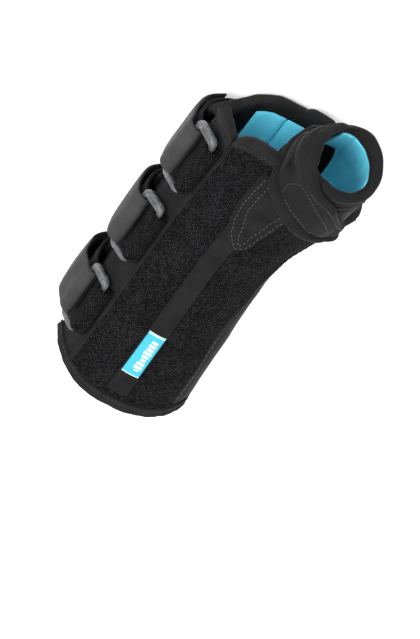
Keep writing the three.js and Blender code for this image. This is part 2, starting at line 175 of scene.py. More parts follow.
def thumb(length, degrees, radius):
    """A point on the thumb sleeve: length along its axis from the rim, angle round it, radius."""
    length, degrees, radius = np.broadcast_arrays(*(np.asarray(v, float) for v in (length, degrees, radius)))
    turn = np.radians(degrees)[..., None]
    across = np.cos(turn) * THUMB_PALM + np.sin(turn) * THUMB_ULNAR
    return THUMB_RIM + length[..., None] * THUMB_AXIS + radius[..., None] * across


def shell_radius(length):
    """The thumb sleeve's outer radius, which narrows to the front."""
    return SHELL_BACK_R + (SHELL_FRONT_R - SHELL_BACK_R) * (length - SHELL_BACK) / (SHELL_FRONT - SHELL_BACK)


MM_PER_DEGREE = 0.72
ARC_TURNS = np.arange(-180, 541, 1.0)
ARC_LENGTHS = length_of(skin(110, ARC_TURNS, 5))


def arc(degrees):
    """Millimetres round the sleeve at an angle, for laying a weave."""
    return np.interp(degrees, ARC_TURNS, ARC_LENGTHS)


def bump_at(distance, width):
    """1 at distance 0, falling smoothly to 0 at about width."""
    return np.exp(-((np.asarray(distance, float) / width) ** 2) * 2)


def wave(x, t, size=1.0):
    """Slow, irregular give in soft fabric, in millimetres."""
    return size * (
        0.22 * np.sin(x / 17 + 0.6 * np.sin(t / 23)) * np.sin(t / 19 + 1.3)
        + 0.13 * np.sin(x / 7.9 + t / 12.5 + 0.8 * np.sin(x / 31))
        + 0.07 * np.sin(x / 4.1 - t / 6.3)
    )


# ---- meshes ------------------------------------------------------------------------------------
def make(name, points, faces, corners, material, slot, body, replaces=()):
    """One mesh object from millimetre points, with its weave's coordinates in millimetres per corner."""
    points = np.asarray(points, float)
    volume = 0.0
    for face in faces:
        p = points[list(face)]
        for k in range(1, len(face) - 1):
            volume += np.dot(p[0], np.cross(p[k], p[k + 1]))
    if volume < 0:
        faces = [tuple(face)[::-1] for face in faces]
        corners = [list(c)[::-1] for c in corners]
    mesh = bpy.data.meshes.new(name)
    mesh.from_pydata(((points - ORIGIN) * MM).tolist(), [], [tuple(int(i) for i in f) for f in faces])
    layer = mesh.uv_layers.new(name="weave")
    layer.data.foreach_set("uv", np.array([uv for c in corners for uv in c], np.float32).ravel())
    mesh.shade_smooth()
    obj = bpy.data.objects.new(name, mesh)
    bpy.context.scene.collection.objects.link(obj)
    mesh.materials.append(material)
    if body:
        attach(obj, body)
    if replaces:
        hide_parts(*replaces)
    return obj


def shell(outer, inner, uv, wrap=False):
    """Points, faces and corner coordinates of a closed plate between two grids of points."""
    nu, nv = outer.shape[:2]
    points = np.concatenate([outer.reshape(-1, 3), inner.reshape(-1, 3)])
    count = nu * nv
    faces, corners = [], []

    def add(places, sides):
        faces.append([(i % nu) * nv + j + side * count for (i, j), side in zip(places, sides)])
        corners.append([uv[i, j] for i, j in places])

    for i in range(nu if wrap else nu - 1):
        for j in range(nv - 1):
            around = [(i, j), (i + 1, j), (i + 1, j + 1), (i, j + 1)]
            add(around, (0, 0, 0, 0))
            add(around[::-1], (1, 1, 1, 1))
        add([(i + 1, 0), (i, 0), (i, 0), (i + 1, 0)], (0, 0, 1, 1))
        add([(i, nv - 1), (i + 1, nv - 1), (i + 1, nv - 1), (i, nv - 1)], (0, 0, 1, 1))
    if not wrap:
        for j in range(nv - 1):
            add([(0, j), (0, j + 1), (0, j + 1), (0, j)], (0, 0, 1, 1))
            add([(nu - 1, j + 1), (nu - 1, j), (nu - 1, j), (nu - 1, j + 1)], (0, 0, 1, 1))
    return points, faces, corners


def sweep(loops, uv, closed=False):
    """Points, faces and corner coordinates of closed loops carried along, with flat ends unless closed."""
    n, m = loops.shape[:2]
    points = loops.reshape(-1, 3)
    faces, corners = [], []
    for i in range(n if closed else n - 1):
        for j in range(m):
            places = [(i, j), (i, j + 1), (i + 1, j + 1), (i + 1, j)]
            faces.append([(a % n) * m + b % m for a, b in places])
            corners.append([uv[a, b] for a, b in places])
    if not closed:
        faces.append(list(range(m))[::-1])
        corners.append([uv[0, b] for b in range(m)][::-1])
        faces.append([(n - 1) * m + b for b in range(m)])
        corners.append([uv[n - 1, b] for b in range(m)])
    return points, faces, corners


def spaced(length, step, edge):
    """Places from 0 to 1 along a length, closer together in its rounded edges."""
    edge = min(edge, length / 4)
    ends = edge * np.array([0, 0.06, 0.2, 0.45, 0.75, 1])
    count = max(2, int(round((length - 2 * edge) / step)))
    middle = np.linspace(edge, length - edge, count + 1)[1:-1]
    return np.concatenate([ends, middle, length - ends[::-1]]) / length


def rounding(distance, radius):
    """How full a rounded edge is: near 0 at the edge, 1 from the radius inward."""
    u = np.clip(np.asarray(distance, float) / radius, 0, 1)
    return np.maximum(np.sqrt(np.clip(1 - (1 - u) ** 2, 0, 1)), 0.06)


def laid(name, x, t, outside, inside, material, slot, replaces=(), body="sleeve", uv=None):
    """A piece on the sleeve, over a grid of places, between two offsets."""
    uv = pair(arc(t), x) if uv is None else uv
    return make(name, *shell(skin(x, t, outside), skin(x, t, inside), uv), material, slot, body, replaces)


def panel(name, around, first, last, layer, material, slot, replaces=(), edge=1.1, step=1.7,
          relief=None, lining_relief=None, edges="abcd", body="sleeve", on=None):
    """A panel of the sleeve between two angles and two ends. edges names the rounded ones: a and b
    at the two angles, c and d at the two ends."""
    t0, t1 = around
    middle = (t0 + t1) / 2
    run = float(last(middle) - first(middle))
    t = t0 + (t1 - t0) * spaced((t1 - t0) * MM_PER_DEGREE, step, edge)[:, None]
    v = spaced(run, step, edge)[None, :]
    x = first(t) + (last(t) - first(t)) * v
    t, v = np.broadcast_arrays(t, v)
    from_a, from_b = (t - t0) * MM_PER_DEGREE, (t1 - t) * MM_PER_DEGREE
    distances = {"a": from_a, "b": from_b, "c": v * run, "d": (1 - v) * run}
    full = rounding(np.min([distances[side] for side in edges], axis=0), edge)
    mid, half = (layer[0] + layer[1]) / 2, (layer[1] - layer[0]) / 2
    outside = mid + half * full + (relief(x, t) * full if relief else 0)
    inside = mid - half * full + (lining_relief(x, t) * full if lining_relief else 0)
    made = laid(name, x, t, outside, inside, material, slot, replaces, body)
    if on:
        cloth(made, length_of(skin(x[:, x.shape[1] // 2], t[:, 0], mid))[-1], run)
    return made


def cloth(obj, width, length):
    """Returns the piece unchanged; the millimetres it is cut to are not used."""
    length * MM
    return obj


def at(value):
    """The same place at every angle."""
    return lambda t: np.full_like(np.asarray(t, float), value)


def shifted(curve, by):
    """A curve moved along the sleeve."""
    return lambda t: curve(t) + by


# ---- materials ---------------------------------------------------------------------------------
class Value:
    """What a material works out at each point: a node's output, with the usual arithmetic."""

    def __init__(self, nodes, socket):
        self.nodes, self.socket = nodes, socket

    def __add__(self, other):
        return self.nodes.math("ADD", self, other)

    def __sub__(self, other):
        return self.nodes.math("SUBTRACT", self, other)

    def __rsub__(self, other):
        return self.nodes.math("SUBTRACT", other, self)

    def __mul__(self, other):
        return self.nodes.math("MULTIPLY", self, other)

    def __floordiv__(self, other):
        return self.nodes.math("FLOOR", self.nodes.math("DIVIDE", self, other))

    def __abs__(self):
        return self.nodes.math("ABSOLUTE", self)


class Nodes:
    """Short names for the few nodes that the materials are built from."""

    def __init__(self, name):
        self.material = bpy.data.materials.new(name)
        self.material.use_nodes = True
        self.tree = self.material.node_tree
        self.shader = self.tree.nodes["Principled BSDF"]

    def node(self, kind, **settings):
        made = self.tree.nodes.new(kind)
        for key, value in settings.items():
            setattr(made, key, value)
        return made

    def put(self, value, socket):
        """Links a value to a socket, or writes a number or an opaque colour into it."""
        if isinstance(value, Value):
            self.tree.links.new(value.socket, socket)
        else:
            socket.default_value = (*value, 1) if isinstance(value, tuple) else value

    def fill(self, made, values, output=0):
        """Puts values in a node's inputs, by name or in order, and returns its output."""
        pairs = values.items() if isinstance(values, dict) else enumerate(values)
        for key, value in pairs:
            self.put(value, made.inputs[key])
        return Value(self, made.outputs[output])

    def math(self, operation, *values, clamp=False):
        return self.fill(self.node("ShaderNodeMath", operation=operation, use_clamp=clamp), values)

    def weave(self):
        """The weave's two coordinates, in millimetres: round the piece, and along it."""
        uv = Value(self, self.node("ShaderNodeUVMap", uv_map="weave").outputs[0])
        split = self.node("ShaderNodeSeparateXYZ")
        return self.fill(split, [uv]), Value(self, split.outputs[1])

    def point(self, u, v):
        return self.fill(self.node("ShaderNodeCombineXYZ"), (u, v))

    def place(self):
        return Value(self, self.node("ShaderNodeTexCoord").outputs["Object"])

    def noise(self, vector, scale, detail=3.0, roughness=0.55):
        values = {"Vector": vector, "Scale": scale, "Detail": detail, "Roughness": roughness}
        return self.fill(self.node("ShaderNodeTexNoise"), values, "Fac")

    def cells(self, vector, scale):
        return self.fill(self.node("ShaderNodeTexVoronoi"), {"Vector": vector, "Scale": scale}, "Distance")

    def random(self, dimensions, **values):
        return self.fill(self.node("ShaderNodeTexWhiteNoise", noise_dimensions=dimensions), values, "Value")

    def ramp(self, *values):
        """A smooth step: the value, where it starts and ends, and what it gives there if not 0 and 1."""
        made = self.node("ShaderNodeMapRange", interpolation_type="SMOOTHSTEP")
        return self.fill(made, values if len(values) > 3 else (*values, 0.0, 1.0))

    def mix(self, factor, a, b):
        made = self.node("ShaderNodeMix", data_type="RGBA")
        return self.fill(made, {"Factor": factor, "A": a, "B": b}, "Result")

    def ripple(self, value, period):
        """A soft ridge at every period: 0 between ridges, 1 on them."""
        return self.math("PINGPONG", value * (2 / period), 1.0)

    def finish(self, color, height, depth_mm, roughness=0.9, sheen=0.0, sheen_tint=(1, 1, 1), coat=0.0,
               specular=0.5, sheen_roughness=0.4):
        relief = {"Strength": 1.0, "Distance": depth_mm * MM, "Height": height}
        self.fill(self.shader, {
            "Base Color": color, "Roughness": roughness, "Sheen Weight": sheen,
            "Sheen Roughness": sheen_roughness, "Sheen Tint": sheen_tint, "Coat Weight": coat,
            "Specular IOR Level": specular, "Normal": self.fill(self.node("ShaderNodeBump"), relief),
        })
        return self.material


def greys(tone, dark, light, blue):
    """A dark and a light grey round a tone, the light one a little bluer."""
    return (tone * dark,) * 3, (tone * light, tone * light, tone * blue)


LOOP_WIDE = 1.15
KNIT_RIB = 0.62
BLOCK_EVERY = 3.1


def loop_mesh(name, light=(0.04, 0.04, 0.042), row=1.6, zigzag=5.2):
    """Knitted loop mesh: fine rows that run in a zig-zag, broken into single loops."""
    n = Nodes(name)
    u, v = n.weave()
    u = u + (n.noise(n.point(u, v), 0.35, 2.0) - 0.5) * 1.6
    along = v + n.math("PINGPONG", u, zigzag / 2) * 0.85
    number = along // row
    loops = n.ripple(u + number * 0.53, LOOP_WIDE)
    height = n.ramp(n.ripple(along, row), 0.3, 1.0) * n.ramp(loops, 0.0, 0.8, 0.45, 1.0)
    # Colour follows the loops' height and a random brightness per loop: painted shade between the loops and
    # painted glints on their tops, with slow patches of real tone.
    each = n.random("2D", Vector=n.point(number, u // LOOP_WIDE))
    patchy = n.ramp(n.noise(n.point(u, v), 0.045), 0.3, 0.7, 0.75, 1.2)
    lit = n.math("MULTIPLY", height * n.ramp(each, 0.0, 1.0, 0.35, 1.25), patchy, clamp=True)
    return n.finish(n.mix(lit, (0.001, 0.001, 0.0012), light), height, 0.5, roughness=0.85, specular=0.05)


def knit(name, tone=0.0098, sheen=0.09):
    """A smooth stretch knit: faint fine ribs, a little fuzz, and slow changes of tone."""
    n = Nodes(name)
    u, v = n.weave()
    flat = n.point(u, v)
    fuzz = n.noise(flat, 2.6, 4.0, 0.7)
    ribs = n.ripple(u + n.noise(flat, 0.4) * 0.5, KNIT_RIB)
    height = ribs * 0.5 + (n.ripple(v, KNIT_RIB * 1.25) * 0.3 + fuzz * 0.7)
    shade = n.ramp(n.noise(flat, 0.07), 0.3, 0.7, 0.78, 1.22) * n.ramp(fuzz, 0.25, 0.75, 0.7, 1.3)
    color = n.mix(n.math("MULTIPLY", shade, 0.5, clamp=True), *greys(tone, 0.1, 1.9, 1.98))
    return n.finish(color, height, 0.09, roughness=0.82, sheen=sheen, sheen_roughness=0.28, specular=0.08)


def ribbed_tape(name, tone=0.0105):
    """Binding tape: fine ribs across its fold, with a soft edge."""
    n = Nodes(name)
    u, v = n.weave()
    height = n.ripple(v, 1.0) * 0.6 + n.noise(n.point(u * 3.0, v), 1.5) * 0.6
    slow = n.ramp(n.noise(n.point(u, v), 0.09, 2.0), 0.3, 0.7, 0.36, 0.62)
    shade = n.math("MULTIPLY", slow, n.ramp(height, 0.1, 1.1, 0.75, 1.2), clamp=True)
    color = n.mix(shade, *greys(tone, 0.1, 1.95, 2.0))
    return n.finish(color, height, 0.1, roughness=0.75, sheen=0.08, sheen_roughness=0.28, specular=0.1)


def brushed_loop(name, tone=0.036):
    """Strap webbing with a brushed loop face."""
    n = Nodes(name)
    u, v = n.weave()
    flat = n.point(u, v)
    pile = n.noise(flat, 1.9, 5.0, 0.75)
    height = pile * 0.8 + (n.cells(flat, 1.25) * -0.5 + n.ripple(v, 2.1) * 0.12)
    slow = n.ramp(n.noise(flat, 0.06), 0.3, 0.7, 0.82, 1.15)
    shade = n.math("MULTIPLY", n.ramp(pile, 0.3, 0.72, 0.36, 0.62), slow, clamp=True)
    color = n.mix(shade, *greys(tone, 0.12, 1.9, 1.95))
    return n.finish(color, height, 0.16, sheen=0.12, sheen_roughness=0.3, specular=0.12)


def hook_face(name):
    """Hook tape: rows of tiny hooks."""
    n = Nodes(name)
    u, v = n.weave()
    hooks = n.ripple(u, 1.3) * n.ripple(v, 1.7)
    return n.finish(n.mix(hooks, (0.004, 0.004, 0.004), (0.03, 0.03, 0.032)), hooks, 0.5, roughness=0.5)


def lining_fleece(name, tone=(0.14, 0.66, 0.93)):
    """Soft brushed lining: a short nap with a fine knit under it."""
    n = Nodes(name)
    u, v = n.weave()
    flat = n.point(u, v)
    nap = n.noise(flat, 1.6, 4.0, 0.7)
    shade = n.ramp(nap, 0.3, 0.7, -0.1, 0.1) + n.ramp(n.noise(flat, 0.05, 2.0), 0.3, 0.7, 0.42, 0.6)
    color = n.mix(shade, tuple(c * 0.72 for c in tone), tuple(min(c * 1.2, 0.98) for c in tone))
    height = nap + n.ripple(u, 0.9) * n.ripple(v, 0.9) * 0.4
    return n.finish(color, height, 0.12, roughness=0.85, sheen=0.05, sheen_tint=(0.7, 0.95, 1), specular=0.12)


def moulded(name):
    """Satin moulded plastic with a fine grain and rubbed, paler patches."""
    n = Nodes(name)
    place = n.place()
    rubbed = n.noise(place, 240.0, 4.0, 0.65)
    color = n.mix(n.ramp(rubbed, 0.42, 0.75), (0.055, 0.057, 0.061), (0.125, 0.128, 0.135))
    rough = n.ramp(rubbed, 0.3, 0.75, 0.24, 0.42)
    return n.finish(color, n.noise(place, 2600.0, 2.0), 0.02, rough, coat=0.15)


def sheet_alloy(name):
    """Dull sheet alloy."""
    n = Nodes(name)
    grain = n.noise(n.place(), 900.0)
    color = n.mix(n.ramp(grain, 0.3, 0.7), (0.5, 0.51, 0.53), (0.66, 0.67, 0.69))
    n.put(1.0, n.shader.inputs["Metallic"])
    return n.finish(color, grain, 0.02, n.ramp(grain, 0.3, 0.7, 0.3, 0.45))


def woven_label(name, length, width):
    """A sky-blue woven label with pale ends and a plain row of pale blocks."""
    n = Nodes(name)
    u, v = n.weave()
    threads = n.ripple(u, 0.42) * n.ripple(v, 0.5)
    from_middle = abs(v - length / 2)
    ends = n.ramp(length / 2 - from_middle, 0.9, 1.2, 0.75, 0.0)
    number = v // BLOCK_EVERY
    tall = n.ramp(n.random("1D", W=number), 0.0, 1.0, 1.5, 2.5)
    across = n.ramp(abs(u - width * 0.42) - tall, -0.15, 0.15, 1.0, 0.0)
    along = n.ramp(abs(v - (number + 0.5) * BLOCK_EVERY), 0.95, 1.25, 1.0, 0.0)
    blocks = across * along * n.ramp(from_middle, length * 0.36, length * 0.37, 1.0, 0.0)
    blue = n.mix(threads, (0.035, 0.33, 0.47), (0.075, 0.46, 0.62))
    color = n.mix(n.math("MAXIMUM", ends, blocks) * 0.9, blue, (0.66, 0.78, 0.82))
    return n.finish(color, threads, 0.1, roughness=0.6, sheen=0.02, specular=0.2)


def thread(name, tone):
    """Sewing thread: a twist round each stitch."""
    n = Nodes(name)
    u, v = n.weave()
    twist = n.ripple(v + u * 1.2, 0.5)
    return n.finish(n.mix(twist, *greys(tone, 0.5, 1.3, 1.34)), twist, 0.08, roughness=0.55)


MESH = loop_mesh("loop_mesh")
TAB_MESH = loop_mesh("tab_loop_mesh", light=(0.034, 0.034, 0.036), row=1.45, zigzag=3.2)
KNIT = knit("smooth_knit")
# The knit made darker and without sheen: painted shade for the linings inside the sleeve.
SHADED_KNIT = knit("knit_painted_shade", tone=0.0055, sheen=0.0)
TAPE = ribbed_tape("edge_tape")
LOOP = brushed_loop("strap_loop")
# The webbing made six times darker: painted shade for the strap layers underneath and the straps' undersides.
SHADED_LOOP = brushed_loop("strap_back", tone=0.006)
HOOK = hook_face("hook_face")
LINING = lining_fleece("blue_lining")
PLASTIC = moulded("ring_plastic")
ALLOY = sheet_alloy("stay_alloy")
DARK_THREAD = thread("dark_thread", 0.02)
GREY_THREAD = thread("grey_thread", 0.05)


# ---- sleeve panels -----------------------------------------------------------------------------
def cut_thumb(obj, less):
    """Cuts the thumb sleeve's room out of a panel, a little inside the sleeve's own outer face."""
    turns = np.arange(0, 360, 7.5)
    lengths = np.array([SHELL_BACK - 0.2, SHELL_FRONT, 24.0])[:, None]
    radius = shell_radius(np.minimum(lengths, SHELL_FRONT)) - less
    loops = thumb(lengths, turns[None, :], np.broadcast_to(radius, (3, len(turns))))
    uv = np.zeros((3, len(turns) + 1, 2))
    cutter = make("cutter", *sweep(loops, uv), MESH, "loop_mesh", None)
    made = obj.modifiers.new("cut", "BOOLEAN")
    made.operation, made.solver, made.object = "DIFFERENCE", "EXACT", cutter
    bpy.context.view_layer.update()
    cut = bpy.data.meshes.new_from_object(obj.evaluated_get(bpy.context.evaluated_depsgraph_get()))
    obj.modifiers.clear()
    obj.data = cut
    bpy.data.objects.remove(cutter)
    return obj


def tape_dips(x, t, far_end):
    """A panel's outer face: the fabric's own give, with dips where the tapes pull it down."""
    return wave(x, t) - 0.5 * bump_at(x - start(t) - 9, 3) - 0.5 * bump_at(far_end(t) - x - 9, 3)


def palm_relief(x, t):
    """The palm panel's outer face, with a ridge along its seam."""
    ridge = 0.95 * bump_at((t - PALM_SEAM + 1.1) * MM_PER_DEGREE, 1.5)
    beside_seam = -0.45 * bump_at((t - PALM_SEAM + 5) * MM_PER_DEGREE, 2.2)
    return ridge + beside_seam + tape_dips(x, t, palm_end)


def quilt(lines, depth=0.7, lift=0.5):
    """Relief of a padded lining, pulled in along seams at these angles."""
    lines = np.array(lines, float)

    def relief(x, t):
        nearest = np.min(np.abs(np.asarray(t, float)[..., None] - lines), axis=-1) * MM_PER_DEGREE
        return depth * bump_at(nearest, 1.3) - lift * (1 - bump_at(nearest, 5.0)) + 0.5 * wave(x, t)

    return relief


COVER, LINER, THIN_LINER = (2.2, 4.8), (0, 2.1), (-0.1, 2.1)
SEWN_ON = 4.4
PALM_SIDE = (RADIAL_SEAM, PALM_SEAM - 0.3)
BACK_SIDE = (BACK_EDGE, BACK_SEAM - 0.5)
BORDER = 7.0
BLUE = (154.0, 197.0)
lining_end = shifted(back_end, -BORDER)

cut_thumb(panel("palm_cover", PALM_SIDE, start, palm_end, COVER, MESH, "loop_mesh", ("palm_panel",),
                relief=palm_relief, on="palm_lining"), 1.4)
cut_thumb(panel("palm_lining_fleece", PALM_SIDE, start, palm_end, LINER, LINING, "blue_lining",
                ("palm_lining",), lining_relief=quilt([-86, -52, -18, 16]), on="palm_panel"), 3.4)
panel("ring_panel_cover", (PALM_SEAM + 0.3, FRONT_EDGE), start, ring_panel_end, COVER, KNIT, "black_knit",
      ("ring_panel",), relief=lambda x, t: wave(x, t, 1.3), on="ring_panel_lining")
panel("ring_panel_lining_fleece", (PALM_SEAM + 0.3, TONGUE[0] - 0.6), start, ring_panel_end, LINER, LINING,
      "blue_lining", ("ring_panel_lining",), lining_relief=quilt([50]), on="ring_panel")
panel("back_cover", BACK_SIDE, start, back_end, COVER, MESH, "loop_mesh", ("back_panel",),
      relief=lambda x, t: tape_dips(x, t, back_end), on="back_lining")
for k, (t0, t1) in enumerate(((BLUE[0], 177.2), (177.4, 186.0), (186.2, BLUE[1]))):
    pad = panel(f"back_lining_pad_{k + 1}", (t0, t1), start, lining_end, (-1.6, 2.1), LINING, "blue_lining",
                ("back_lining",) if k == 0 else (), edge=3.2, step=1.5,
                lining_relief=quilt([t0 - 9, t1 + 9], lift=0.0))
# The lining's sides and its border at the finger edge use the darkened knit: painted shade inside the sleeve.
panel("back_lining_shaded_side", (TONGUE[1] + 0.6, BLUE[0] + 0.6), start, lining_end, THIN_LINER, SHADED_KNIT,
      "blue_lining", lining_relief=quilt([136], depth=0.9), on="back_panel")
panel("back_lining_thumb_side", (BLUE[1] - 0.6, BACK_SIDE[1]), start, lining_end, THIN_LINER, SHADED_KNIT,
      "blue_lining", lining_relief=quilt([215, 236], depth=0.9), on="back_panel")
panel("back_lining_border", (TONGUE[1] + 0.6, BACK_SIDE[1]), shifted(back_end, -BORDER - 1.5), back_end,
      (-0.35, 2.15), SHADED_KNIT, "black_knit", edge=0.8)
panel("tongue_flap", TONGUE, at(12), at(184), (0, 2.0), TAB_MESH, "black_knit", ("tongue",), edge=1.0,
      relief=lambda x, t: wave(x, t, 0.5), on="back_panel")

BAND_START, BAND_LONG, BAND_FROM = 8.5, 176, RADIAL_SEAM - 24
band_edge = through(
    [-10, 7, 34, 54, 75, 90, 110, 150, 190, 210],
    [-46, -48, -51, -50, -50, -54, -62, -74, -81, -83],
)


def radial_band():
    """The smooth band round the thumb side of the forearm, over the mesh's edge."""
    x = BAND_START + BAND_LONG * spaced(BAND_LONG, 2.0, 1.2)[None, :]
    u = spaced(34, 1.8, 1.2)[:, None]
    t = BAND_FROM + (band_edge(x) - BAND_FROM) * u
    wide = (band_edge(x) - BAND_FROM) * MM_PER_DEGREE
    from_end = np.minimum(x - BAND_START, BAND_START + BAND_LONG - x)
    full = np.minimum(rounding(np.minimum(u, 1 - u) * wide, 1.2), rounding(from_end, 1.2))
    outside = 4.6 + 1.1 * full + 0.8 * wave(x, t) * full - 0.35 * bump_at((1 - u) * wide - 2.4, 0.9)
    made = laid("radial_band", x, t, outside, SEWN_ON, KNIT, "black_knit")
    return cloth(made, arc(-58) - arc(BAND_FROM), BAND_LONG)


radial_band()
panel("palm_seam_ridge", (36.6, 41.4), shifted(start, 4), shifted(palm_end, -6), (4.2, 5.9), KNIT,
      "black_knit", edge=1.5, step=1.2, relief=lambda x, t: 0.15 * np.sin(x / 2.3) + 0.2 * np.sin(x / 9.0))


# ---- stitches ----------------------------------------------------------------------------------
STITCH_SINK = 0.12


def stitches(name, line, material, slot, body, long=2.1, gap=1.2, thick=0.32, out=None):
    """A row of stitches along a line of millimetre points on a surface, each one sunk at its ends."""
    travelled = length_of(line)
    outward = unit((line - [0, 0, 32]) * [0, 1, 1]) if out is None else out
    turn = circle(6)[None, :, None]
    shape = np.array([0.35, 0.9, 1.0, 0.9, 0.35])
    points, faces, corners = [], [], []
    for k in range(int((travelled[-1] - gap) // (long + gap))):
        place = gap / 2 + k * (long + gap) + long * np.array([0, 0.2, 0.5, 0.8, 1.0])
        spine = resampled(line, travelled, place)
        rising = unit(resampled(outward, travelled, place))
        side = unit(np.cross(unit(spine[-1] - spine[0]), rising))
        spine = spine + rising * (STITCH_SINK * (shape - 1))[:, None]
        across = np.cos(turn) * side[:, None] + 0.75 * np.sin(turn) * rising[:, None]
        loops = spine[:, None] + thick * shape[:, None, None] * across
        p, f, c = sweep(loops, pair(np.linspace(0, 2, 7)[None, :], place[:, None]))
        faces += [[i + len(points) for i in face] for face in f]
        points += p.tolist()
        corners += c
    return make(name, points, faces, corners, material, slot, body)


# ---- binding tapes -----------------------------------------------------------------------------
TAPE_PROFILE = np.array([
    (5.9, 4.9), (5.85, 5.3), (5.4, 5.65), (4.7, 5.85), (4.1, 5.75), (3.6, 5.35), (3.1, 5.75),
    (2.2, 6.15), (1.0, 6.35), (-0.4, 6.1), (-1.35, 5.3), (-1.9, 4.1), (-2.1, 2.6), (-2.0, 1.1),
    (-1.6, -0.2), (-0.9, -1.15), (0.2, -1.6), (1.8, -1.65), (3.2, -1.5), (4.0, -1.2), (4.4, -1.45),
    (4.9, -1.25), (5.1, -0.8), (4.9, -0.3), (2.6, -0.2), (0.0, 0.0), (-0.5, 1.2), (-0.6, 2.6),
    (-0.4, 4.0), (0.3, 4.75), (3.0, 4.85),
])
TAPE_MIDDLE = 2.3


def tape(name, around, edge, direction, replaces, cut=False):
    """A folded tape over the panels' raw edge, pulled down along its seam."""
    t0, t1 = around
    t = np.linspace(t0, t1, max(4, int(round((t1 - t0) * MM_PER_DEGREE / 1.5))) + 1)[:, None]
    x = edge(t) + direction * TAPE_PROFILE[None, :, 0]
    give = 1 + 0.05 * np.sin(t / 2.9 + 0.7 * np.sin(t / 7.3)) + 0.03 * np.sin(t / 1.3)
    offset = TAPE_MIDDLE + (TAPE_PROFILE[None, :, 1] - TAPE_MIDDLE) * give
    across = length_of(TAPE_PROFILE)
    uv = pair(np.append(across, across[-1] + 4.4)[None, :], arc(t))
    made = make(name, *sweep(skin(x, t, offset), uv), TAPE, "edge_tape", "sleeve", replaces)
    cloth(made, across[-1] / 2, length_of(skin(x[:, 0], t[:, 0], 4.8))[-1])
    return cut_thumb(made, 1.0) if cut else made


tape("forearm_binding_palm", (RADIAL_SEAM, FRONT_EDGE), start, 1, ("forearm_tape_palm",))
tape("forearm_binding_back", (BACK_EDGE, BACK_SEAM - 0.3), start, 1, ("forearm_tape_back",))
tape("palm_edge_binding", (-14, PALM_SEAM - 0.3), palm_end, -1, ("palm_edge_tape",), cut=True)
tape("ring_panel_binding", (PALM_SEAM + 0.3, FRONT_EDGE), ring_panel_end, -1, ("ring_panel_tape",))
tape("finger_edge_binding", (BACK_EDGE, BACK_SEAM - 0.3), back_end, -1, ("finger_edge_tape",))
tape("radial_edge_binding", (RADIAL_SEAM, -76), palm_end, -1, ("radial_edge_tape",), cut=True)

band_x = np.linspace(12, 182, 150)
stitches("band_stitches", skin(band_x, band_edge(band_x) - 2.4, 5.55), GREY_THREAD, "black_knit", "sleeve",
         long=2.4, gap=1.6)
for row_name, row_span, row_edge, inward in (
    ("palm_edge", (-10, PALM_SEAM - 1), palm_end, -1),
    ("ring_panel", (PALM_SEAM + 1, FRONT_EDGE - 1), ring_panel_end, -1),
    ("forearm", (-70, FRONT_EDGE - 1), start, 1),
    ("finger_edge", (BACK_EDGE + 1, 196), back_end, -1),
):
    row_t = np.linspace(*row_span, 120)
    row = skin(row_edge(row_t) + 3.6 * inward, row_t, 5.4)
    stitches(f"{row_name}_stitches", row, DARK_THREAD, "edge_tape", "sleeve", long=1.6, gap=1.0, thick=0.28)


# ---- stay pockets, patch, label ----------------------------------------------------------------
POCKET_END, PATCH_TIP, PATCH_STITCH_END = 156, 137.0, 196


def pocket_crown(t):
    """How far the palm pocket stands up over its stay, and the distance to its nearer seam."""
    side = np.minimum(t - POCKET[0], POCKET[1] - t) * MM_PER_DEGREE
    half = (POCKET[1] - POCKET[0]) * MM_PER_DEGREE / 2
    return 0.55 * (1 - (1 - side / half) ** 2), side


def pocket_relief(x, t):
    """The palm pocket: crowned, pulled in along its seams, and low where the patch covers it."""
    crown, side = pocket_crown(t)
    under_patch = 2.1 * np.clip((x - PATCH_TIP + 1) / 5, 0, 1)
    return crown - 0.5 * bump_at(side - 1.6, 0.7) + 0.4 * wave(x, t) - under_patch


panel("palm_pocket", POCKET, at(8.2), at(POCKET_END), (4.5, 7.0), KNIT, "black_knit",
      ("palm_stay_pocket", "palm_stay"), edge=0.9, step=1.3, relief=pocket_relief, edges="abc",
      on="palm_panel")
for side_name, side_t in (("low", POCKET[0] + 2.3), ("high", POCKET[1] - 2.3)):
    row = skin(np.linspace(11, PATCH_TIP - 1, 120), side_t, 6.75)
    stitches(f"pocket_stitches_{side_name}", row, DARK_THREAD, "black_knit", "sleeve", long=1.8, gap=1.0,
             thick=0.28)

patch_upper = through(
    [137, 143, 154, 161, 168, 177, 187, 196, 206],
    [-7, 0, 4.3, 6.2, 7.4, 7.8, 7.7, 7.2, 6],
)
patch_lower = through(
    [137, 139.5, 144, 152, 162, 170, 186, 206],
    [-7, -12.8, -16.2, -17.2, -19.1, -19.5, -24, -30],
)


def thumb_patch():
    """The smooth patch over the thumb's stay: a rounded tip, with two seams inside its edge."""
    along = (palm_end(-10) - 9 - PATCH_TIP) * spaced(64, 1.3, 1.6)
    x = PATCH_TIP + 0.15 + along[None, :] ** 1.25 * along[-1] ** -0.25
    u = spaced(34, 1.1, 1.2)[:, None]
    t = patch_lower(x) + (patch_upper(x) - patch_lower(x)) * u
    wide = (patch_upper(x) - patch_lower(x)) * MM_PER_DEGREE
    side = np.minimum(np.minimum(u, 1 - u) * wide, (x - PATCH_TIP) * 1.4)
    full = rounding(side, 1.0)
    seams = -0.45 * (bump_at(side - 2.0, 0.7) + bump_at(side - 5.0, 0.7))
    outside = 4.6 + 2.7 * full + (0.35 * wave(x, t) + seams) * full
    made = laid("thumb_patch_cover", x, t, outside, SEWN_ON, KNIT, "black_knit",
                ("thumb_patch", "thumb_stay"))
    cut_thumb(made, 1.2)
    return cloth(made, arc(8) - arc(-19), 62)


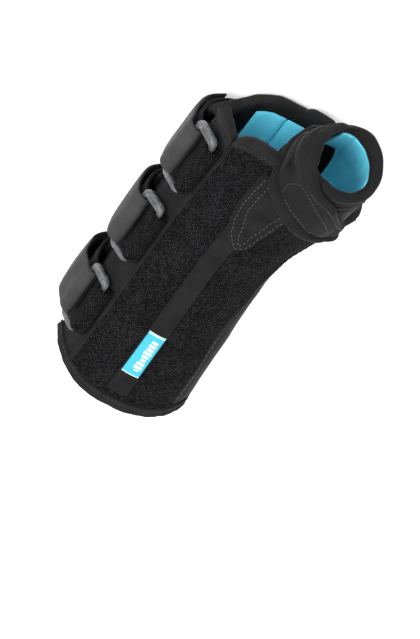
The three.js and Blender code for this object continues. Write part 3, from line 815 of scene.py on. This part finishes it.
def patch_outline(inside):
    """A line round the patch's tip, this far inside its edge."""
    tip, inset = PATCH_TIP + 0.9 * inside, inside / MM_PER_DEGREE
    upper_x = np.linspace(PATCH_STITCH_END, tip + 3.2, 60)
    lower_x = np.linspace(tip + 1.6, PATCH_STITCH_END, 60)
    t = np.concatenate([patch_upper(upper_x) - inset, [-8.0], patch_lower(lower_x) + inset])
    return skin(np.concatenate([upper_x, [tip], lower_x]), t, 7.25)


thumb_patch()
stitches("patch_stitches_outer", patch_outline(2.0), GREY_THREAD, "black_knit", "sleeve")
stitches("patch_stitches_inner", patch_outline(5.0), GREY_THREAD, "black_knit", "sleeve")


def back_pocket():
    """The pocket over the back stay, which the splint lies on: flat where it rests."""
    t0, t1, x0, x1 = 167.5, 194, 10, 191
    t, x = grid(t0, t1, spaced((t1 - t0) * MM_PER_DEGREE, 1.4, 1.0), x0, x1, spaced(x1 - x0, 1.8, 1.0))
    side = np.minimum(t - t0, t1 - t) * MM_PER_DEGREE
    full = np.minimum(rounding(side, 1.0), rounding(np.minimum(x - x0, x1 - x), 1.0))
    soft = 0.4 * bump_at(side - 9, 8) - 0.5 * bump_at(side - 1.7, 0.7) + 0.3 * wave(x, t) * full
    outer = skin(x, t, 4.5 + 3.6 * full + soft)
    outer[..., 2] = np.maximum(outer[..., 2], 0.02)
    shape = shell(outer, skin(x, t, SEWN_ON), pair(arc(t), x))
    made = make("back_pocket", *shape, KNIT, "black_knit", "sleeve", ("back_stay_pocket",))
    return cloth(made, arc(t1) - arc(t0), x1 - x0)


def label():
    """The woven label on the palm pocket."""
    t0, t1, x0, x1 = -6.8, 3.2, 26, 61
    width, length = (t1 - t0) * 1.07, x1 - x0
    u, v = spaced(width, 0.9, 0.5), spaced(length, 1.2, 0.5)
    t, x = grid(t0, t1, u, x0, x1, v)
    u, v = u[:, None], v[None, :]
    full = rounding(np.minimum(np.minimum(u, 1 - u) * width, np.minimum(v, 1 - v) * length), 0.5)
    outside = 7.05 + pocket_crown(t)[0] + 0.75 * full + 0.4 * wave(x, t)
    face = woven_label("label_weave", length, width)
    made = laid("label_patch", x, t, outside, outside - 0.7 - 0.3 * full, face, "blue_label", ("label",),
                uv=pair(u * width, v * length))
    return cloth(made, width, length)


back_pocket()
label()
back_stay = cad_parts["back_stay"]
back_stay.data.materials.clear()
back_stay.data.materials.append(ALLOY)


# ---- rings, ring tabs and straps ----------------------------------------------------------------
def ring_frame(x):
    """Where a ring lies: its centre and its directions along the sleeve, across it and outward."""
    centre = skin(x, RING_ANGLE, RING_LIFT)
    along = unit(skin(x + 5, RING_ANGLE, RING_LIFT) - skin(x - 5, RING_ANGLE, RING_LIFT))
    across = skin(x, RING_ANGLE + 2, RING_LIFT) - skin(x, RING_ANGLE - 2, RING_LIFT)
    across = unit(across - along * np.dot(across, along))
    out = np.cross(along, across)
    return {"centre": centre, "along": along, "across": across, "out": out if out[2] > 0 else -out,
            "name": f"ring_{RING_X.index(x) + 1}"}


def beside(ring, s, a, n):
    """A point beside the ring: s along it, a across it towards the back, n outward."""
    s, a, n = (np.asarray(v, float)[..., None] for v in (s, a, n))
    return ring["centre"] + s * ring["along"] + a * ring["across"] + n * ring["out"]


def row_frame(point):
    """A millimetre point as the row frame has it, in metres."""
    return tuple(((np.asarray(point) - ORIGIN) * MM).tolist())


def spline(knots, per=10):
    """A centripetal Catmull-Rom curve through the knots."""
    p = np.vstack([2 * knots[0] - knots[1], knots, 2 * knots[-1] - knots[-2]])
    out = []
    for i in range(1, len(p) - 2):
        near = p[i - 1:i + 3]
        t = np.concatenate([[0], np.cumsum(np.sqrt(np.linalg.norm(np.diff(near, axis=0), axis=1)))])
        u = np.linspace(t[1], t[2], per, endpoint=False)[:, None]

        def between(first, a, last, b):
            return (t[last] - u) / (t[last] - t[first]) * a + (u - t[first]) / (t[last] - t[first]) * b

        a = [between(k, near[k], k + 1, near[k + 1]) for k in range(3)]
        b = [between(k, a[k], k + 2, a[k + 1]) for k in range(2)]
        out.append(between(1, b[0], 2, b[1]))
    return np.vstack([*out, knots[-1:]])


def ribbon(name, ring, path, thickness, material, slot, replaces, relief=None, edge=0.9):
    """Webbing laid across the ring: along (angle, offset) places on the sleeve, then (a, n) places beside
    the ring, then on the sleeve again."""
    before, near, after = path
    s = (spaced(WEBBING, 2.0, edge) - 0.5) * WEBBING
    lines = []
    for place in s:
        x = ring["centre"][0] + place * ring["along"][0]
        knots = [skin(x, *k) for k in before] + [beside(ring, place, *k) for k in near]
        lines.append(spline(np.array(knots + [skin(x, *k) for k in after])))
    travelled = length_of(lines[len(lines) // 2])
    q = spaced(travelled[-1], 1.4, edge)
    target = q * travelled[-1]
    lines = np.array([resampled(line, travelled, target) for line in lines])
    normal = unit(np.cross(np.gradient(lines, axis=0), np.gradient(lines, axis=1)))
    side = WEBBING / 2 - np.abs(s)[:, None]
    end = np.minimum(target, target[-1] - target)[None, :]
    full = rounding(np.minimum(side, end), edge)[..., None]
    lift = relief(s[:, None], q[None, :])[..., None] if relief else 0.0
    outer = lines + normal * (thickness / 2 * full + lift * full)
    inner = lines - normal * (thickness / 2 * full - lift * full * 0.7)
    uv = pair(s[:, None] + WEBBING / 2, target[None, :])
    made = make(name, *shell(outer, inner, uv), material, slot, None, replaces)
    return cloth(made, WEBBING, travelled[-1])


def line_with(obj, material):
    """Gives the inner face of a two-sided piece a material of its own."""
    obj.data.materials.append(material)
    half = len(obj.data.vertices) // 2
    for face in obj.data.polygons:
        if all(v >= half for v in face.vertices):
            face.material_index = 1


def squarish(v):
    """Turns a circle's sine or cosine into that of a bar with flattened sides."""
    return np.sign(v) * np.abs(v) ** 0.72


def ring_mesh(name, ring, body, replaces):
    """A moulded ring: rounded bars, with thicker end bars that have a groove along them."""
    half_l, half_w, corner = RING_LENGTH / 2 - 1.8, RING_WIDTH / 2 - 1.8, 3.3
    centreline = []
    for quarter, (sx, sy) in enumerate(((1, 1), (-1, 1), (-1, -1), (1, -1))):
        angle = math.pi / 2 * (quarter + np.linspace(0, 1, 9))
        middle = [sx * (half_l - corner), sy * (half_w - corner)]
        centreline.append(middle + corner * pair(np.cos(angle), np.sin(angle)))
    closed = np.concatenate([*centreline, centreline[0][:1]])
    travelled = length_of(closed)
    count = 132
    line = resampled(closed, travelled, np.linspace(0, travelled[-1], count, endpoint=False))
    tangent = unit(np.roll(line, -1, axis=0) - np.roll(line, 1, axis=0))
    turn = circle(36)[None, :]
    along, across = line[:, :1], line[:, 1:]
    at_end = smooth((np.abs(along) - (half_l - 2.5)) / 2.5)
    finger = at_end * (along > 0)
    w = squarish(np.cos(turn)) * (1.75 + 0.2 * at_end + 0.75 * finger) + 0.7 * finger
    n = squarish(np.sin(turn)) * (1.5 + 0.3 * at_end + 0.5 * finger)
    slot = np.exp(-((w - 1.15) / 0.42) ** 2) * np.clip(5.6 - np.abs(across), 0, 1)
    n = n - np.maximum(np.sign(n), 0) * finger * 2.1 * slot
    loops = beside(ring, along + tangent[:, 1:] * w, across - tangent[:, :1] * w, n)
    uv = pair(np.linspace(0, 13, 37)[None, :], np.linspace(0, travelled[-1], count + 1)[:, None])
    return make(name, *sweep(loops, uv, closed=True), PLASTIC, "ring_plastic", body, replaces)


def strap_relief(bow, phase):
    """How a strap's face swells between its edges, with a slight twist and a few soft dents."""

    def relief(s, q):
        across = 2 * s / WEBBING
        pillow = bow * (1 - across ** 4) - 0.2 * np.exp(-((np.abs(across) - 0.9) / 0.05) ** 2)
        twist = 0.22 * np.sin(5.1 * q + across * 1.7 + phase)
        return pillow + twist + 0.1 * np.sin(14 * q - 3.1 * across + phase)

    return relief


CLEARANCE = 0.35
TAB_LIFT_OFF = RING_THICK / 2 + CLEARANCE + TAB_THICK / 2
STRAP_LIFT_OFF = RING_THICK / 2 + CLEARANCE + STRAP_THICK / 2
HOOK_HALF = 16.5
TAB_SEWN_AT = 41.2


def ring_tab(number, ring):
    """The loop-mesh tab, folded round the ring's inner bar and sewn down at the palm seam."""
    fold = [
        (-BAR_MID - 2, -TAB_LIFT_OFF - 0.8), (-BAR_MID, -TAB_LIFT_OFF - 0.1), (-TURN_IN + 0.5, -2),
        (-TURN_IN + TAB_THICK / 2, 0), (-TURN_IN + 0.5, 2), (-BAR_MID + 0.6, TAB_LIFT_OFF),
        (-BAR_MID - 0.9, TAB_LIFT_OFF), (-BAR_MID - 2.9, 2.1), (-BAR_MID - 3.8, 0),
    ]
    path = ([(TAB_SEWN_AT, 5.95)], fold, [(TAB_SEWN_AT, 8)])
    tab = ribbon(f"ring_{number}_tab", ring, path, TAB_THICK, TAB_MESH, "loop_mesh", (f"ring_tab_{number}",),
                 edge=0.8)
    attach(tab, "sleeve")


def lower_strap(number, ring):
    """The sewn part of a strap, from its turn in the ring down round the sleeve."""
    ring_x, ring_body = RING_X[number - 1], f"ring_{number}_body"
    turn = [(TURN_IN - STRAP_THICK / 2, 0.3), (TURN_IN - 0.6, -2.2), (BAR_MID, -STRAP_LIFT_OFF - 0.1)]
    down = [*((t, STRAP_LOW) for t in (79, 85, 95, 110, 130, 145)), (155, 6.6), (165, 6.1)]
    # The sewn part is all in the darkened webbing: painted shade under the free end.
    lower = ribbon(f"strap_{number}_lower", ring, ([], turn, down), STRAP_THICK, SHADED_LOOP, "webbing",
                   (f"strap_{number}_sewn_part", f"strap_{number}_turn"))
    row_frame(skin(ring_x, 100, STRAP_LOW))
    row_frame(beside(ring, 0, BAR_MID + 5, -2))
    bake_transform(lower)


def upper_strap(number, ring):
    """The free end of a strap, from its turn in the ring, with the hook patch under it."""
    high, ring_x = STRAP_HIGH[number - 1], RING_X[number - 1]
    ring_body, strap_body = f"ring_{number}_body", f"strap_{number}_end"
    turn = [
        (TURN_IN - STRAP_THICK / 2, -0.3), (TURN_IN - 0.6, 2.2), (BAR_MID - 0.5, STRAP_LIFT_OFF + 0.1),
        (BAR_MID + 2, STRAP_LIFT_OFF), (BAR_MID + 4.6, 1.7),
    ]
    down = [
        (85, high + 0.7), (93, high), (101, high - 0.2), (108, (high + STRAP_END_LIFT) / 2),
        (115, STRAP_END_LIFT), (STRAP_END, STRAP_END_LIFT),
    ]
    upper = ribbon(f"strap_{number}_upper", ring, ([], turn, down), STRAP_THICK + 0.2, LOOP, "webbing",
                   (f"strap_{number}_free_end",), relief=strap_relief(0.45, 1.7 * (number - 1)))
    # The free end's underside takes the darkened webbing: painted shade.
    line_with(upper, SHADED_LOOP)
    peel = beside(ring, 0, BAR_MID + 1.75, RING_THICK / 2 + CLEARANCE + STRAP_THICK + 0.1)
    row_frame(peel - 3.5 * ring["across"])
    row_frame(peel + 4.5 * ring["across"])
    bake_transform(upper)
    panel(f"strap_{number}_hook_patch", (115, 127), at(ring_x - HOOK_HALF), at(ring_x + HOOK_HALF),
          (8.9, 9.6), HOOK, "hook_tape", (f"strap_{number}_hook",), edge=0.4, body=strap_body)


for number, ring_x in enumerate(RING_X, 1):
    ring = ring_frame(ring_x)
    ring_mesh(f"ring_{number}_moulding", ring, f"ring_{number}_body", (f"ring_{number}",))
    ring_tab(number, ring)
    lower_strap(number, ring)
    upper_strap(number, ring)


# ---- thumb sleeve --------------------------------------------------------------------------------
def tube(name, lengths, radii_out, radii_in, material, slot, replaces, relief=None, inner_relief=None,
         around=None):
    """A length of the thumb sleeve, or a sector of it between two angles."""
    whole, step = around is None, 3.0
    first, last = (0, 360) if whole else (around[0], around[1] + step / 2)
    degrees = np.arange(first, last, step)[:, None]
    length = lengths(degrees) if callable(lengths) else np.array(lengths, float)[None, :]
    degrees, length = np.broadcast_arrays(degrees, length)
    outer_r = radii_out(length) + (relief(length, degrees) if relief else 0)
    inner_r = radii_in(length) + (inner_relief(length, degrees) if inner_relief else 0)
    turn = np.append(degrees[:, 0], degrees[-1, 0] + step)[:, None] if whole else degrees[:, :1]
    uv = pair(turn * 0.4, np.vstack([length, length[:1]]) if whole else length)
    shape = shell(thumb(length, degrees, outer_r), thumb(length, degrees, inner_r), uv, wrap=whole)
    made = make(name, *shape, material, slot, "sleeve", replaces)
    middle_row = length[len(length) // 2]
    middle_radius = float(np.mean(outer_r[:, outer_r.shape[1] // 2]))
    width = math.radians(360 if whole else around[1] - around[0]) * middle_radius
    return cloth(made, width, middle_row[-1] - middle_row[0])


def tube_relief(length, degrees):
    """Two ribs under the rim and soft creases."""
    ribs = -0.9 * (bump_at(length + 7.5, 0.8) + bump_at(length + 12.5, 0.8) + bump_at(length + 4.4, 0.6))
    slow = 0.3 * np.sin(np.radians(3 * degrees + 20) + length / 9)
    return ribs + slow + 0.18 * np.sin(np.radians(7 * degrees) - length / 4)


tube("thumb_sleeve_cover", np.linspace(SHELL_BACK, SHELL_FRONT + 2, 48), shell_radius,
     lambda v: shell_radius(v) - 2.5, KNIT, "black_knit", ("thumb_sleeve",), relief=tube_relief)
LINING_SEAMS = (-172, -118, -110, -60, -10)
LINING_BACK, LINING_INSET = SHELL_BACK + 1, 2.45


def lining_relief(length, degrees):
    """The thumb lining's inner face, pulled out along slanting seams."""
    seams = sum(bump_at((degrees - seam + 0.25 * (length + 20)) * 0.36, 1.0) for seam in LINING_SEAMS)
    return 1.1 * seams - 0.9 + 0.2 * np.sin(np.radians(5 * degrees) + length / 6)


def lining_lengths(degrees):
    """The lining reaches further back under the thumb than beside it."""
    deep = np.interp(degrees, [-200, -177, -166, -158, -100, -50, 12], [-29, -29, -40, -50, -50, -38, -33])
    return deep + (SHELL_FRONT + 2 - deep) * np.linspace(0, 1, 30)[None, :]


def lining_radius(length):
    """Just inside the sleeve's tube, and narrowing behind it, where the lining runs on under the panels."""
    behind = np.maximum(0, LINING_BACK - length)
    return shell_radius(np.maximum(length, LINING_BACK)) - LINING_INSET - 0.5 * behind


tube("thumb_lining_fleece", lining_lengths, lining_radius, lambda v: lining_radius(v) - 2.15, LINING,
     "blue_lining", ("thumb_lining",), inner_relief=lining_relief, around=(-200, 12))
# The dark sector of the thumb lining, in the darkened knit: painted shade deep inside the thumb sleeve.
tube("thumb_lining_shaded", np.linspace(LINING_BACK, SHELL_FRONT + 2, 20),
     lambda v: shell_radius(v) - LINING_INSET, lambda v: shell_radius(v) - 4.7,
     SHADED_KNIT, "blue_lining", (), around=(10, 162))


def around_rim(degrees, values):
    """A smooth value round the thumb opening, from its values at these angles."""
    turns = np.array(values[0], float)
    x = np.concatenate([turns - 360, turns, turns + 360])
    y = np.tile(np.array(values[1], float), 3)
    samples = np.arange(-200, 400, 4.0)
    rough = np.interp(samples, x, y)
    window = np.hanning(9)
    smooth = np.convolve(np.pad(rough, 4, mode="edge"), window / window.sum(), mode="valid")
    return np.interp(degrees, samples, smooth)


RIM_OUTER = (
    [-172, -161, -145, -118, -87, -50, -13, 20, 50, 90, 120, 140, 160],
    [23.6, 24.4, 24.2, 23.3, 22.8, 23.3, 22.6, 22.4, 22.4, 21.8, 19.8, 19.4, 21.2],
)
RIM_INNER = (
    [-169, -145, -107, -71, -43, -7, 19, 40, 56, 79, 113, 143, 170],
    [16.9, 15.6, 15.2, 17.0, 16.8, 15.8, 15.6, 16.6, 16.6, 15.8, 15.0, 16.0, 17.2],
)


def rim():
    """The padded roll round the thumb opening."""
    degrees = np.arange(-180, 180, 2.5)[:, None]
    turn = circle(24)[None, :]
    outer, inner = around_rim(degrees, RIM_OUTER), around_rim(degrees, RIM_INNER)
    pads = 0.03 * np.sin(np.radians(4 * degrees + 40)) + 0.025 * np.sin(np.radians(11 * degrees) + 2 * turn)
    seam = 1 - 0.2 * np.exp(-(((np.degrees(turn) - 205) / 9) ** 2))
    minor = (outer - inner) / 2 * (1 + pads) * seam
    loops = thumb(minor * np.sin(turn) * 1.08, degrees, (outer + inner) / 2 + minor * np.cos(turn))
    uv = pair(np.linspace(0, 27, 25)[None, :], np.linspace(0, 127, 145)[:, None])
    made = make("thumb_rim_roll", *sweep(loops, uv, closed=True), KNIT, "edge_tape", "sleeve", ("thumb_rim",))


rim()


def web_roll():
    """The rolled end of the finger edge's binding, where it meets the thumb sleeve."""
    t = np.linspace(181, 201, 22)[:, None]
    turn = circle(18)[None, :]
    radius = 4.3 * rounding((t - 181) * MM_PER_DEGREE, 3.5) * rounding((201 - t) * MM_PER_DEGREE, 3.5)
    x = back_end(t) + 2.6 + radius * np.cos(turn)
    loops = skin(x, t, -0.6 + radius * np.sin(turn))
    uv = pair(np.linspace(0, 23, 19)[None, :], arc(t))
    made = make("web_roll", *sweep(loops, uv), TAPE, "edge_tape", "sleeve")


web_roll()

TAB_LIFT, TAB_DROP, TAB_DROP_X, TAB_FREE = 9.1, 1.6, 214, 78
TAB_THICKNESS = 2.6
TAB_WIDE, TAB_LONG, TAB_LAST = 46, 100, 176
TAB_MM_PER_DEGREE = 0.44


def palm_height(x, y, offset):
    """Height of the palm side, at an offset, over a point."""
    low, high = np.full(np.shape(x), -89.0), np.full(np.shape(x), 89.0)
    for _ in range(24):
        middle = (low + high) / 2
        under = skin(x, middle, offset)[..., 1] < y
        low, high = np.where(under, middle, low), np.where(under, high, middle)
    return skin(x, low, offset)[..., 2]


# The tab's own way over the rim's front: the distance travelled, the length along the thumb there, and
# the share of the way from the rim's inner radius to its outer one.
OVER_AT = [-7.1, -4.1, 0.0, 3.4, 6.4, 8.8, 10.9, 12.5]
OVER_LENGTH = [-6.5, -3.5, 0.6, 3.6, 5.2, 5.7, 5.3, 4.2]
OVER_SHARE = [1.0, 1.06, 1.08, 0.92, 0.62, 0.34, 0.1, -0.04]
tab_reach = through(
    [-56, -50, -45, -35, -25, -13, 0, 11, 31, 45, 57, 90, 180],
    [-31, -28, -25.5, -18.5, -11, -4.5, -0.3, 1.6, 5.4, 8, 10.2, 11.2, 11.6],
)
tab_root = through(
    [-56, -50, -40, -25, 0, 20, 60, 76, 90, 105, 120, 140, 178],
    [-42, -46, -48.8, -48, -44.3, -39.5, -31.8, -29.6, -24.5, -16, -10.5, -6.5, -3],
)


def tab_way(travelled, degrees):
    """Length and radius along the tab's own way, before any lift."""
    length = np.interp(travelled, OVER_AT, OVER_LENGTH)
    share = np.interp(travelled, OVER_AT, OVER_SHARE)
    outer, inner = around_rim(degrees, RIM_OUTER) + 0.5, around_rim(degrees, RIM_INNER)
    over = inner + share * (outer - inner)
    along = np.minimum(travelled, OVER_AT[0]) + OVER_LENGTH[0] - OVER_AT[0]
    plain = shell_radius(along) + 0.4
    on_tube = travelled <= OVER_AT[0]
    blend = smooth((travelled - OVER_AT[0] + 5) / 9)
    radius = over * blend + (shell_radius(length) + 0.6) * (1 - blend)
    return np.where(on_tube, along, length), np.where(on_tube, plain, radius)


def tab_wide(degrees):
    return tab_reach(degrees) - tab_root(degrees)


def tab_point(degrees, v, lift):
    """A point on the thumb tab: angle round the thumb, v from its back edge to its front, lift."""
    travelled = tab_root(degrees) + tab_wide(degrees) * v
    here, after = tab_way(travelled, degrees), tab_way(travelled + 0.7, degrees)
    before = tab_way(travelled - 0.7, degrees)
    run, rise = after[0] - before[0], after[1] - before[1]
    size = np.maximum(np.hypot(run, rise), 1e-6)
    lift = lift - 2.2 * smooth((degrees - 146) / 26)
    p = thumb(here[0] - lift * rise / size, degrees, here[1] + lift * run / size)
    drop = TAB_DROP * np.maximum(0, p[..., 0] - TAB_DROP_X) + 1.2 * np.maximum(0, degrees - TAB_FREE)
    floor = palm_height(p[..., 0], p[..., 1], TAB_LIFT + lift) - drop
    z = 0.5 * (p[..., 2] + floor + np.sqrt((p[..., 2] - floor) ** 2 + 2.0))
    return np.concatenate([p[..., :2], z[..., None]], -1)


tab_groove = through(
    [-57, -50, -32, -10, 2, 16, 32, 46, 70, 90, 110, 180],
    [3, 4, 6.4, 9.6, 11, 10.4, 8.9, 9.5, 8.7, 8, 5, 3],
)


def tab_face(degrees, v):
    """The tab's outer face: a rolled back edge with a groove beside it, and a crowned front edge and end."""
    wide = tab_wide(degrees)
    from_back, from_front, from_end = v * wide, (1 - v) * wide, (degrees - TAB_FROM) * TAB_MM_PER_DEGREE
    inner_side = np.minimum(from_front, from_end)
    side = np.minimum(from_back, inner_side)
    full = rounding(side, 2.4) * rounding((TAB_LAST - degrees) * 0.4, 3.0)
    thin = 1 - 0.93 * np.clip((degrees - 100) / 62, 0, 1)
    groove = tab_groove(degrees)
    roll = 1.5 * np.sin(np.pi * np.clip(from_back / groove, 0, 1)) ** 0.8
    edge = 1.1 * bump_at(inner_side - 2.8, 3.2) - 0.5 * bump_at(inner_side - 6.6, 0.8)
    cut = -1.9 * bump_at(from_back - groove, 0.85)
    crown = 0.7 * np.sin(np.clip((from_back - groove) / 12, 0, 1) * np.pi / 2)
    return full, np.maximum(TAB_THICKNESS - 0.4 + roll + edge + cut + crown, 0.7) * thin


def thumb_tab():
    """The tab over the thumb sleeve, from its free end to where it sinks into the rim."""
    u = spaced((TAB_LAST - TAB_FROM) * TAB_MM_PER_DEGREE, 1.1, 1.5)[:, None]
    v = spaced(TAB_WIDE, 0.8, 2.2)[None, :]
    degrees, v = np.broadcast_arrays(TAB_FROM + (TAB_LAST - TAB_FROM) * u, v)
    full, lift = tab_face(degrees, v)
    outer = tab_point(degrees, v, 0.4 + (lift - 0.4) * full)
    inner = tab_point(degrees, v, 0.4 * (1 - full))
    uv = pair(degrees * TAB_MM_PER_DEGREE, tab_root(degrees) + tab_wide(degrees) * v)
    made = make("thumb_tab_wrap", *shell(outer, inner, uv), KNIT, "black_knit", None,
                ("thumb_tab", "thumb_tab_base"))
    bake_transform(made)
    return cloth(made, TAB_WIDE, TAB_LONG)


def tab_line(knots):
    """Points and outward directions on the tab's face, through (angle, travelled length) knots."""
    line = spline(np.array([[a, b, 0.0] for a, b in knots], float), per=8)
    degrees, travelled = line[:, 0], line[:, 1]
    v = (travelled - tab_root(degrees)) / tab_wide(degrees)
    lift = tab_face(degrees, v)[1]
    here = tab_point(degrees, v, lift)
    return here, unit(tab_point(degrees, v, lift + 1.0) - here)


def tab_stitches(name, knots, material, **sizes):
    """A row of stitches on the tab, which bends with it."""
    line, out = tab_line(knots)
    made = stitches(name, line, material, "black_knit", None, out=out, **sizes)
    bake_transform(made)


thumb_tab()
HOOK_OUTLINE = [
    (40, -24.4), (44, -16.8), (36, -7.6), (23, -6.4), (1, -12.6), (-25, -25.5), (-36, -37.6), (-29, -41.2),
    (-12, -35.5), (1, -30.6), (21, -27), (40, -24.4),
]
tab_stitches("tab_hook_stitches", HOOK_OUTLINE, GREY_THREAD, long=1.1, gap=1.1, thick=0.3)
GROOVE_TURNS = (-36, -24, -10, 2, 16, 32, 46, 58, 70, 82, 94)
GROOVE_LINE = [(turn, float(tab_root(turn) + tab_groove(turn))) for turn in GROOVE_TURNS]
tab_stitches("tab_groove_stitches", GROOVE_LINE, DARK_THREAD, long=1.8, gap=1.0, thick=0.3)
panel("thumb_tab_hook_patch", (-32, -16), at(175), at(184), (8.0, 8.8), HOOK, "hook_tape",
      ("thumb_tab_hook",), edge=0.4, body="thumb_tab_end")


# ---- camera, floor and light ---------------------------------------------------------------------
def camera():
    """The camera that looks at the splint from the palm side, finger end first."""
    eye = Vector(((np.array([667.7, 169.7, 657.2]) - ORIGIN) * MM).tolist())
    look = np.array([0.65744, 0.19829, 0.72694])
    right = np.array([0.47847, -0.85515, -0.19946])
    up = np.array([0.58210, 0.47895, -0.65709])
    aim = unit(-look + 0.00471 * right - 0.04796 * up)
    side = unit(np.cross(aim, up))
    top = np.cross(side, aim)
    data = bpy.data.cameras.new("camera")
    data.lens, data.sensor_width, data.clip_end = 80.93, 36, 20
    made = bpy.data.objects.new("camera", data)
    bpy.context.scene.collection.objects.link(made)
    turn = Matrix((side.tolist(), top.tolist(), (-aim).tolist())).transposed()
    made.matrix_world = Matrix.Translation(eye) @ turn.to_4x4()
    bpy.context.scene.camera = made


def floor_material():
    n = Nodes("pale_floor")
    tone = n.noise(n.place(), 6.0)
    color = n.mix(tone, (0.86, 0.86, 0.86), (0.9, 0.9, 0.9))
    n.shader.inputs["Emission Color"].default_value = (1, 1, 1, 1)
    n.shader.inputs["Emission Strength"].default_value = 0.22
    return n.finish(color, tone, 0.01, roughness=0.9)


def floor():
    """A wide pale floor, just under the splint."""
    size, level = 6.0, -0.0003
    mesh = bpy.data.meshes.new("floor")
    corners = [(x * size, y * size, level) for x, y in ((-1, -1), (1, -1), (1, 1), (-1, 1))]
    mesh.from_pydata(corners, [], [(0, 1, 2, 3)])
    mesh.uv_layers.new(name="weave")
    mesh.materials.append(floor_material())
    made = bpy.data.objects.new("floor", mesh)
    bpy.context.scene.collection.objects.link(made)


def light(name, place, size, power):
    """A rectangular light, aimed at the splint's middle."""
    data = bpy.data.lights.new(name, "AREA")
    data.shape, data.size, data.size_y, data.energy = "RECTANGLE", size[0], size[1], power
    made = bpy.data.objects.new(name, data)
    bpy.context.scene.collection.objects.link(made)
    made.location = place
    made.rotation_euler = (LIGHT_TARGET - Vector(place)).to_track_quat("-Z", "Y").to_euler()


LIGHT_TARGET = Vector((0, 0, 0.03))
camera()
floor()
light("key", (0.35, 0.75, 0.95), (0.9, 0.7), 16)
light("fill", (0.6, -0.9, 0.9), (1.2, 1.0), 8)
light("top", (-0.3, 0.0, 1.3), (1.4, 1.4), 10)
world = bpy.data.worlds.new("studio")
bpy.context.scene.world = world
world.use_nodes = True
backdrop = world.node_tree.nodes["Background"].inputs
backdrop["Color"].default_value = (1, 1, 1, 1)
backdrop["Strength"].default_value = 0.75
bpy.context.scene.view_settings.view_transform = "Standard"
